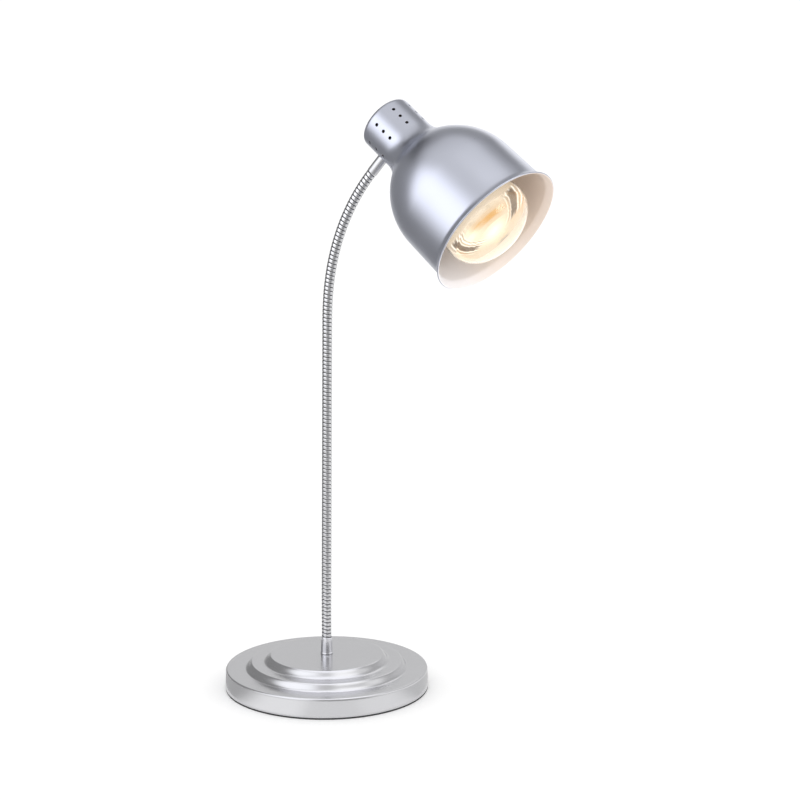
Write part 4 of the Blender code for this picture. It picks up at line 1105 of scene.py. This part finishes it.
def make_bulb():
    outer = bulb_section(0.0, 84, 40, 0.05)
    inner = bulb_section(1.3, 60, 34)
    glass = turned("bulb_envelope", outer + list(reversed(inner)), 160, M_GLASS, HEAD, closed=False, body="bulb",
                   slot="bulb_glass", replaces=["bulb_glass"], angle=60)
    # glass to look through, open at its neck inside the cap
    me = glass.data
    bm = bmesh.new()
    bm.from_mesh(me)
    rims = [e for e in bm.edges if e.is_boundary]
    bmesh.ops.bridge_loops(bm, edges=rims)
    bmesh.ops.recalc_face_normals(bm, faces=bm.faces)
    bm.to_mesh(me)
    bm.free()
    me.shade_smooth()
    glass.visible_shadow = False

    def back(offset, n, first):
        """Section of the film: it starts a little in front of the widest ring."""
        pts = []
        for k in range(6):
            a = math.radians(76.0 + 14.0 * k / 6)
            pts.append(((BULB_R - offset) * math.sin(a), BULB_WIDE_T - (BULB_DOME - offset) * math.cos(a)))
        for k in range(n + 1):
            u = first + (1 - first) * k / n
            pts.append((BULB_NECK_R + (BULB_R - BULB_NECK_R) * (1 - u ** 1.9) ** 0.92 - offset,
                        BULB_WIDE_T + (BULB_NECK_T - BULB_WIDE_T) * u))
        return pts
    a, b = back(1.55, 72, 0.0), back(1.9, 72, 0.0)
    turned("bulb_mirror", a + list(reversed(b)), 160, M_MIRROR, HEAD, closed=True, body="bulb", slot="bulb_nickel", angle=60)

    # screw cap: rolled E27 thread, insulator and solder spot
    n = 96
    bm = bmesh.new()
    g, e, r = BULB_GLASS_END_T, BULB_END_T, BULB_CAP_R
    skirt = [(r - 0.02, g - 1.6), (r, g - 0.2), (r, g + 0.4)]
    rings = [ring_of(bm, n, a, b) for a, b in skirt]
    t0, t1 = threaded(bm, n, g + 0.6, e - 5.0, r, 0.75)
    tail = [(r - 0.6, e - 4.4), (r - 2.0, e - 3.4), (r - 3.2, e - 3.0), (9.0, e - 3.0), (9.0, e - 3.5), (r - 3.4, e - 3.6), (r - 2.2, e - 4.2),
            (12.1, e - 5.6), (12.1, g - 2.0), (r - 0.3, g - 2.0)]
    rest = [ring_of(bm, n, a, b) for a, b in tail]
    loop = rings + [t0]
    for p, q in zip(loop, loop[1:]):
        bridge(bm, p, q)
    loop = [t1] + rest + [rings[0]]
    for p, q in zip(loop, loop[1:]):
        bridge(bm, p, q)
    put("bulb_screw_cap", bm, M_NICKEL, HEAD, body="bulb", slot="bulb_nickel", replaces=["bulb_cap"], angle=40)
    prof = [(0, e - 5.0), (8.6, e - 4.4), (8.7, e - 3.2), (8.4, e - 2.7), (5.4, e - 1.8), (4.9, e - 1.4), (0, e - 1.4)]
    turned("bulb_insulator", prof, 64, M_VITRITE, HEAD, body="bulb", slot="bulb_nickel", replaces=["bulb_contact"], angle=40)
    prof = [(0, e - 1.35), (4.7, e - 1.35), (4.7, e - 1.0), (4.2, e - 0.45), (2.8, e - 0.1), (0, e)]
    turned("bulb_solder", prof, 48, M_SOLDER, HEAD, body="bulb", slot="bulb_nickel", angle=50)

    # stem press, exhaust tube and button of clear glass
    prof = [(0, 68.0), (2.4, 68.3), (3.2, 69.4), (3.4, 71.0), (2.7, 73.5), (1.9, 76.0), (1.9, 92.0), (3.2, 97.0), (4.4, 101.0), (5.6, 106.0), (7.4, 112.5),
            (8.5, 118.0), (8.5, 121.0), (2.0, 124.0), (0, 124.0)]
    turned("bulb_stem_glass", prof, 64, M_STEM_GLASS, HEAD, body="bulb", slot="stem_glass", replaces=["bulb_stem"], angle=50).visible_shadow = False

    # filament: a fine coil bent into an open ring, its leads and its hooks
    bm = bmesh.new()
    turns, per = 46, 14
    pts = []
    for j in range(turns * per + 1):
        f = j / (turns * per)
        a = math.radians(200.0 + 320.0 * f)
        c = Vector((13.0 * math.cos(a), 13.0 * math.sin(a), 64.0))
        d = Vector((math.cos(a), math.sin(a), 0.0))
        w = 2 * math.pi * j / per
        pts.append(c + d * (0.95 * math.cos(w)) + Vector((0, 0, 0.95)) * math.sin(w))
    tube_along(bm, pts, 0.22, 6, 0)
    put("filament_coil", bm, M_GLOW, HEAD, body="bulb", slot="filament", replaces=["bulb_filament"], angle=60)
    bm = bmesh.new()
    for a in (200.0, 520.0):
        d = Vector((math.cos(math.radians(a)), math.sin(math.radians(a)), 0.0))
        tube_along(bm, [d * 13.0 + Vector((0, 0, 64.0)), d * 12.6 + Vector((0, 0, 67.0)), d * 8.0 + Vector((0, 0, 80.0)),
                        d * 3.2 + Vector((0, 0, 94.0)), d * 2.6 + Vector((0, 0, 106.0))], 0.38, 8)
    for a in (264.0, 328.0, 392.0, 456.0):
        d = Vector((math.cos(math.radians(a)), math.sin(math.radians(a)), 0.0))
        tube_along(bm, [d * 2.6 + Vector((0, 0, 70.2)), d * 6.0 + Vector((0, 0, 68.6)), d * 11.0 + Vector((0, 0, 66.4)),
                        d * 12.8 + Vector((0, 0, 65.6)), d * 14.3 + Vector((0, 0, 64.4)), d * 14.0 + Vector((0, 0, 63.0)),
                        d * 12.9 + Vector((0, 0, 62.7))], 0.22, 8)
    put("filament_supports", bm, M_WIRE, HEAD, body="bulb", slot="bulb_nickel", angle=60)


def make_holder():
    leg, bt, shelf, w = 34.6, 1.5, 187.5, 9.0
    top = shelf - 0.3
    prof = [(14.9, 126.4), (15.3, 126.0), (20.1, 126.0), (20.8, 126.3), (22.7, 128.4), (23.0, 129.2), (23.0, 138.4), (22.7, 139.5),
            (21.3, 142.2), (21.0, 143.2), (21.0, top - 3.4), (20.7, top - 2.4), (19.5, top - 0.6), (18.6, top), (4.8, top), (4.4, top - 0.4),
            (4.4, 164.0), (14.9, 160.0)]
    body = carve(spin(prof, 96, True), [cylinder(2.2, -8.0, 6.0, 24, (x, 0, top - 2.0)) for x in (-12.0, 12.0)])
    put("lampholder_ceramic", body, M_CERAMIC, HEAD, body="head", slot="holder_ceramic", replaces=["lampholder_body"], angle=35)

    bm = bmesh.new()
    n = 96
    a0, a1 = threaded(bm, n, 129.0, 157.0, 14.5, 0.28, rows=64, phase=0.0)
    b0, b1 = threaded(bm, n, 129.0, 157.0, 14.1, 0.28, rows=64, phase=0.0)
    bridge(bm, a0, b0)
    bridge(bm, a1, b1)
    put("lampholder_thread", bm, M_BRASS, HEAD, body="head", slot="brass", replaces=["lampholder_shell"], angle=40)

    # bracket: one strip, bent round a 1.5 mm inner corner
    xa = -(leg + bt)
    outer = [(xa, 214.0), (xa, shelf + 3.0)] + [(xa + 3.0 - 3.0 * math.sin(math.radians(90 - 15 * k)), shelf + 3.0 - 3.0 * math.cos(math.radians(90 - 15 * k)))
                                                for k in range(1, 7)]
    outer += [(16.0, shelf)]
    inner = [(16.0, shelf + bt), (xa + 3.0, shelf + bt)]
    inner += [(xa + 3.0 - 1.5 * math.sin(math.radians(15 * k)), shelf + 3.0 - 1.5 * math.cos(math.radians(15 * k))) for k in range(1, 7)]
    inner += [(xa + bt, 214.0)]
    pts = outer + inner
    bm = bmesh.new()
    face = bm.faces.new([bm.verts.new((x, -w, z)) for x, z in pts])
    out = bmesh.ops.extrude_face_region(bm, geom=[face])
    bmesh.ops.translate(bm, vec=(0, 2 * w, 0), verts=[g for g in out["geom"] if isinstance(g, bmesh.types.BMVert)])
    cuts = [cylinder(5.3, -3.0, 3.0, 48, (-(leg + bt / 2), 0, HEAD_FERRULE_T), (1, 0, 0))]
    cuts += [cylinder(2.2, -3.0, 3.0, 32, (x, 0, shelf + bt / 2)) for x in (-12.0, 12.0)]
    put("holder_bracket_strip", carve(bm, cuts, 0.22, 40), M_ZINC, HEAD, body="head", slot="plate_steel", replaces=["holder_bracket"], angle=30)

    # screws with a slotted head
    for k, x in enumerate((-12.0, 12.0)):
        z = shelf + bt + 0.3
        prof = [(0, top - 7.0), (1.5, top - 7.0), (1.8, top - 6.6), (1.8, z), (3.3, z), (3.4, z + 0.15), (3.4, z + 1.3), (3.1, z + 1.9), (2.4, z + 2.3), (0, z + 2.4)]
        slotcut = bmesh.new()
        bmesh.ops.create_cube(slotcut, size=1.0)
        bmesh.ops.scale(slotcut, vec=(0.9, 9.0, 2.4), verts=slotcut.verts)
        bmesh.ops.rotate(slotcut, cent=(0, 0, 0), matrix=Matrix.Rotation(0.6 + k * 1.1, 3, "Z"), verts=slotcut.verts)
        bmesh.ops.translate(slotcut, vec=(0, 0, z + 2.6), verts=slotcut.verts)
        put("holder_fixing_%d" % (k + 1), carve(spin(prof, 40, False), [slotcut]), M_SCREW, HEAD @ Matrix.Translation((x, 0, 0)), body="head",
            slot="fastener_steel", replaces=["holder_screw_%d" % (k + 1)], angle=30)

    # washer and chamfered nut that hold the ferrule's nipple, on the inside of the leg
    fm = frame_at(AXIS_POINT, -FERRULE_DIR)
    z = leg - 0.3
    prof = [(8.4, z), (8.6, z - 0.2), (8.6, z - 1.0), (8.4, z - 1.2), (5.5, z - 1.2), (5.3, z - 1.0), (5.3, z - 0.2), (5.5, z)]
    turned("ferrule_washer", prof, 64, M_ZINC, fm, closed=True, body="head", slot="fastener_steel", replaces=["upper_washer"], angle=35)
    nz = z - 1.5
    bm = bmesh.new()
    low = [bm.verts.new((8.8 * math.cos(0.4 + k * math.pi / 3), 8.8 * math.sin(0.4 + k * math.pi / 3), nz - 5.0)) for k in range(6)]
    high = [bm.verts.new((v.co.x, v.co.y, nz)) for v in low]
    bridge(bm, low, high)
    bm.faces.new(low)
    bm.faces.new(high)
    put("ferrule_nut", carve(bm, [cylinder(5.3, nz - 9.0, nz + 4.0, 48)], 0.35, 40), M_THREAD, fm, body="head", slot="fastener_steel",
        replaces=["upper_nut"], angle=25)


make_bulb()
make_holder()


# ----------------------------------------------------------------------------
# pieces taken over from the model as they are
# ----------------------------------------------------------------------------
def dress():
    by_name = {
        "base_plate": M_ZINC, "base_weight": M_IRON, "plate_screw_1": M_SCREW, "plate_screw_2": M_SCREW, "plate_screw_3": M_SCREW,
        "earth_screw": M_BRASS, "terminal_block": M_PLASTIC, "lower_nipple": M_THREAD, "lower_washer": M_ZINC, "lower_nut": M_THREAD,
        "upper_nipple": M_THREAD, "lampholder_contact": M_BRASS,
    }
    for name, ob in NODES.items():
        mat = M_SHEATH if name.startswith("lead_") else by_name.get(name)
        if mat is None:
            continue
        ob.data.materials.clear()
        ob.data.materials.append(mat)


dress()


# ----------------------------------------------------------------------------
# stage: floor, and what the metal sees of the studio
# ----------------------------------------------------------------------------
VIEW_AZIMUTH = 17.56      # the side of the lamp that faces the viewer


def make_floor():
    me = bpy.data.meshes.new("floor")
    bm = bmesh.new()
    bmesh.ops.create_circle(bm, cap_ends=True, segments=96, radius=55.0)
    bm.to_mesh(me)
    bm.free()
    ob = bpy.data.objects.new("floor", me)
    SCENE.collection.objects.link(ob)
    t = Tree("floor_paper")
    n = t.noise(t.coord(), 3.0, 2.0, 0.5)
    t.link(t.ramp(n, [(0.3, (0.90, 0.90, 0.90)), (0.7, (0.915, 0.915, 0.915))]), t.p.inputs["Base Color"])
    t.set(Roughness=0.9, Specular_IOR_Level=0.1, Emission_Color=(1, 1, 1, 1), Emission_Strength=0.12)
    me.materials.append(t.m)
    me.materials[0].cycles.emission_sampling = "NONE"


def make_world():
    w = bpy.data.worlds.new("studio")
    SCENE.world = w
    w.use_nodes = True
    bg = w.node_tree.nodes["Background"]
    bg.inputs["Color"].default_value = (1.0, 1.0, 1.0, 1.0)
    bg.inputs["Strength"].default_value = 1.05


def mirror_light(ob, lights):
    """Makes ob glow for mirror-like reflections alone, by bearing from the viewer and by height."""
    for f in ("visible_camera", "visible_diffuse", "visible_shadow", "visible_transmission", "visible_volume_scatter"):
        setattr(ob, f, False)
    m = bpy.data.materials.new(ob.name + "_light")
    m.use_nodes = True
    t = Tree.__new__(Tree)
    t.matrix, t.m, t.t = None, m, m.node_tree
    t.t.nodes.remove(t.t.nodes["Principled BSDF"])
    out = next(n for n in t.t.nodes if n.type == "OUTPUT_MATERIAL")
    em = t.node("ShaderNodeEmission")
    t.link(em.outputs[0], out.inputs["Surface"])
    s = t.node("ShaderNodeSeparateXYZ")
    t.link(t.coord(), s.inputs[0])
    x, y, z = s.outputs
    hyp = t.math("MAXIMUM", t.math("SQRT", t.math("ADD", t.math("MULTIPLY", x, x), t.math("MULTIPLY", y, y))), 0.05)
    hx, hy = t.math("DIVIDE", x, hyp), t.math("DIVIDE", y, hyp)

    def smooth(v, a, b):
        n = t.node("ShaderNodeMapRange", interpolation_type="SMOOTHSTEP")
        n.inputs["From Min"].default_value = a
        n.inputs["From Max"].default_value = b
        t.link(v, n.inputs["Value"])
        return n.outputs["Result"]

    def zone(az, inner, outer, e0, e1, e2, e3):
        """1 within inner degrees of az and between heights e1 and e2, 0 beyond outer, e0 and e3."""
        a = math.radians(az + VIEW_AZIMUTH)
        d = t.math("ADD", t.math("MULTIPLY", hx, math.sin(a)), t.math("MULTIPLY", hy, -math.cos(a)))
        f = smooth(d, math.cos(math.radians(outer)), math.cos(math.radians(inner)))
        se = [math.sin(math.radians(e)) for e in (e0, e1, e2, e3)]
        if e0 > -90:
            f = t.math("MULTIPLY", f, smooth(z, se[0], se[1]))
        if e3 < 90:
            f = t.math("MULTIPLY", f, smooth(z, se[3], se[2]))
        return f

    total = None
    color = [None, None, None]
    for value, tint, args in lights:
        f = zone(*args) if args else None
        for c in range(3):
            amount = value * tint[c]
            if f is None:
                color[c] = amount
            elif isinstance(color[c], float):
                color[c] = t.math("ADD", t.math("MULTIPLY", f, amount), color[c])
            else:
                color[c] = t.math("ADD", color[c], t.math("MULTIPLY", f, amount))
    comb = t.node("ShaderNodeCombineXYZ")
    for c in range(3):
        t.link(t.math("MAXIMUM", color[c], 0.02), comb.inputs[c])
    t.link(comb.outputs[0], em.inputs["Color"])
    em.inputs["Strength"].default_value = 1.0
    ob.data.materials.append(m)
    m.cycles.emission_sampling = "NONE"


def make_tent():
    """A dome that only mirror-like reflections meet: soft boxes and dark flags, each
    given by its bearing from the viewer (positive to the viewer's right) and its height."""
    bm = bmesh.new()
    bmesh.ops.create_icosphere(bm, subdivisions=5, radius=1.0)
    # a ring just over the floor, beyond the lamp's own foot
    rings = [[bm.verts.new((r * math.cos(2 * math.pi * k / 96) - (0.10 if r < 0.5 else 0.0) / 1.5, r * math.sin(2 * math.pi * k / 96), -0.225))
              for k in range(96)] for r in (0.24, 0.974)]
    bridge(bm, rings[0], rings[1])
    me = bpy.data.meshes.new("tent")
    bm.to_mesh(me)
    bm.free()
    ob = bpy.data.objects.new("tent", me)
    SCENE.collection.objects.link(ob)
    ob.location = (0.10, 0.0, 0.35)
    ob.scale = (1.5, 1.5, 1.5)
    mirror_light(ob, LIGHTS)


def make_foot_ring():
    """What the rim of the foot sees close by on the floor."""
    bm = bmesh.new()
    rings = [ring_of(bm, 96, r, 0.003) for r in (0.151, 0.36)]
    bridge(bm, rings[0], rings[1])
    me = bpy.data.meshes.new("foot_ring")
    bm.to_mesh(me)
    bm.free()
    ob = bpy.data.objects.new("foot_ring", me)
    SCENE.collection.objects.link(ob)
    mirror_light(ob, FOOT_LIGHTS)


def make_card():
    """A round soft box hung low over the foot, seen only from below and only in reflections."""
    bm = bmesh.new()
    bmesh.ops.create_circle(bm, cap_ends=True, segments=96, radius=0.56)
    me = bpy.data.meshes.new("foot_card")
    bm.to_mesh(me)
    bm.free()
    ob = bpy.data.objects.new("foot_card", me)
    SCENE.collection.objects.link(ob)
    ob.location = (0.0, 0.0, 0.50)
    for f in ("visible_camera", "visible_diffuse", "visible_shadow", "visible_transmission", "visible_volume_scatter"):
        setattr(ob, f, False)
    m = bpy.data.materials.new("card_light")
    m.use_nodes = True
    t = Tree.__new__(Tree)
    t.matrix, t.m, t.t = None, m, m.node_tree
    t.t.nodes.remove(t.t.nodes["Principled BSDF"])
    out = next(n for n in t.t.nodes if n.type == "OUTPUT_MATERIAL")
    em, clear, mix = t.node("ShaderNodeEmission"), t.node("ShaderNodeBsdfTransparent"), t.node("ShaderNodeMixShader")
    r, _ = t.radius(t.coord())
    n = t.node("ShaderNodeMapRange", interpolation_type="SMOOTHSTEP")
    n.inputs["From Min"].default_value = 0.42
    n.inputs["From Max"].default_value = 0.20
    t.link(r, n.inputs["Value"])
    under = t.node("ShaderNodeNewGeometry").outputs["Backfacing"]
    # only for the foot: a head that is bent down to the card's height does not see it
    far = t.node("ShaderNodeMapRange", interpolation_type="SMOOTHSTEP")
    far.inputs["From Min"].default_value = 0.24
    far.inputs["From Max"].default_value = 0.42
    t.link(t.node("ShaderNodeLightPath").outputs["Ray Length"], far.inputs["Value"])
    t.link(t.math("MULTIPLY", t.math("MULTIPLY", n.outputs["Result"], under), far.outputs["Result"]), mix.inputs[0])
    em.inputs["Color"].default_value = (0.98, 0.985, 1.03, 1.0)
    em.inputs["Strength"].default_value = 1.85
    t.link(clear.outputs[0], mix.inputs[1])
    t.link(em.outputs[0], mix.inputs[2])
    t.link(mix.outputs[0], out.inputs["Surface"])
    me.materials.append(m)
    m.cycles.emission_sampling = "NONE"


def make_fill():
    """A gridded soft box to the right, turned to the mouth of the shade."""
    la = bpy.data.lights.new("mouth_fill", "AREA")
    la.shape, la.size, la.energy = "DISK", 0.5, 0.16
    la.color = (0.97, 0.97, 1.0)
    la.spread = math.radians(40.0)
    ob = bpy.data.objects.new("mouth_fill", la)
    SCENE.collection.objects.link(ob)
    target = MOUTH * MM
    ob.location = (1.36, -0.42, 0.78)
    d = target - ob.location
    ob.rotation_euler = d.to_track_quat("-Z", "Y").to_euler()
    ob.visible_camera = ob.visible_glossy = False


W = (1.0, 1.0, 1.0)
COOL = (0.96, 0.98, 1.04)
LIGHTS = [
    (0.82, W, None),
    (0.08, W, (35.0, 80.0, 130.0, 58.0, 72.0, 90.0, 91.0)),
    (1.12, COOL, (-54.0, 16.0, 40.0, -14.0, 22.0, 42.0, 60.0)),
    (-0.54, W, (-124.0, 22.0, 42.0, -91.0, -90.0, 50.0, 68.0)),
    (-0.44, W, (13.0, 18.0, 38.0, -91.0, -90.0, 12.0, 26.0)),
    (1.15, W, (45.0, 22.0, 46.0, 34.0, 46.0, 64.0, 76.0)),
    (0.62, W, (76.0, 8.0, 22.0, -4.0, 6.0, 26.0, 40.0)),
    (0.25, W, (106.0, 8.0, 20.0, -40.0, -20.0, -2.0, 8.0)),
    (-0.44, W, (175.0, 52.0, 80.0, 40.0, 50.0, 66.0, 80.0)),
    (-0.20, W, (120.0, 10.0, 24.0, 6.0, 16.0, 50.0, 60.0)),
    (0.62, W, (157.0, 14.0, 30.0, 14.0, 30.0, 34.0, 46.0)),
]

FOOT_LIGHTS = [
    (0.98, W, None),
    (0.24, W, (-34.0, 8.0, 24.0, -91.0, -90.0, 90.0, 91.0)),
    (-0.50, W, (-90.0, 14.0, 36.0, -91.0, -90.0, 90.0, 91.0)),
    (0.10, W, (38.0, 6.0, 22.0, -91.0, -90.0, 90.0, 91.0)),
    (-0.28, W, (86.0, 12.0, 30.0, -91.0, -90.0, 90.0, 91.0)),
]


make_floor()
make_world()
make_tent()
make_foot_ring()
make_card()
make_fill()
SCENE.view_settings.view_transform = "Standard"
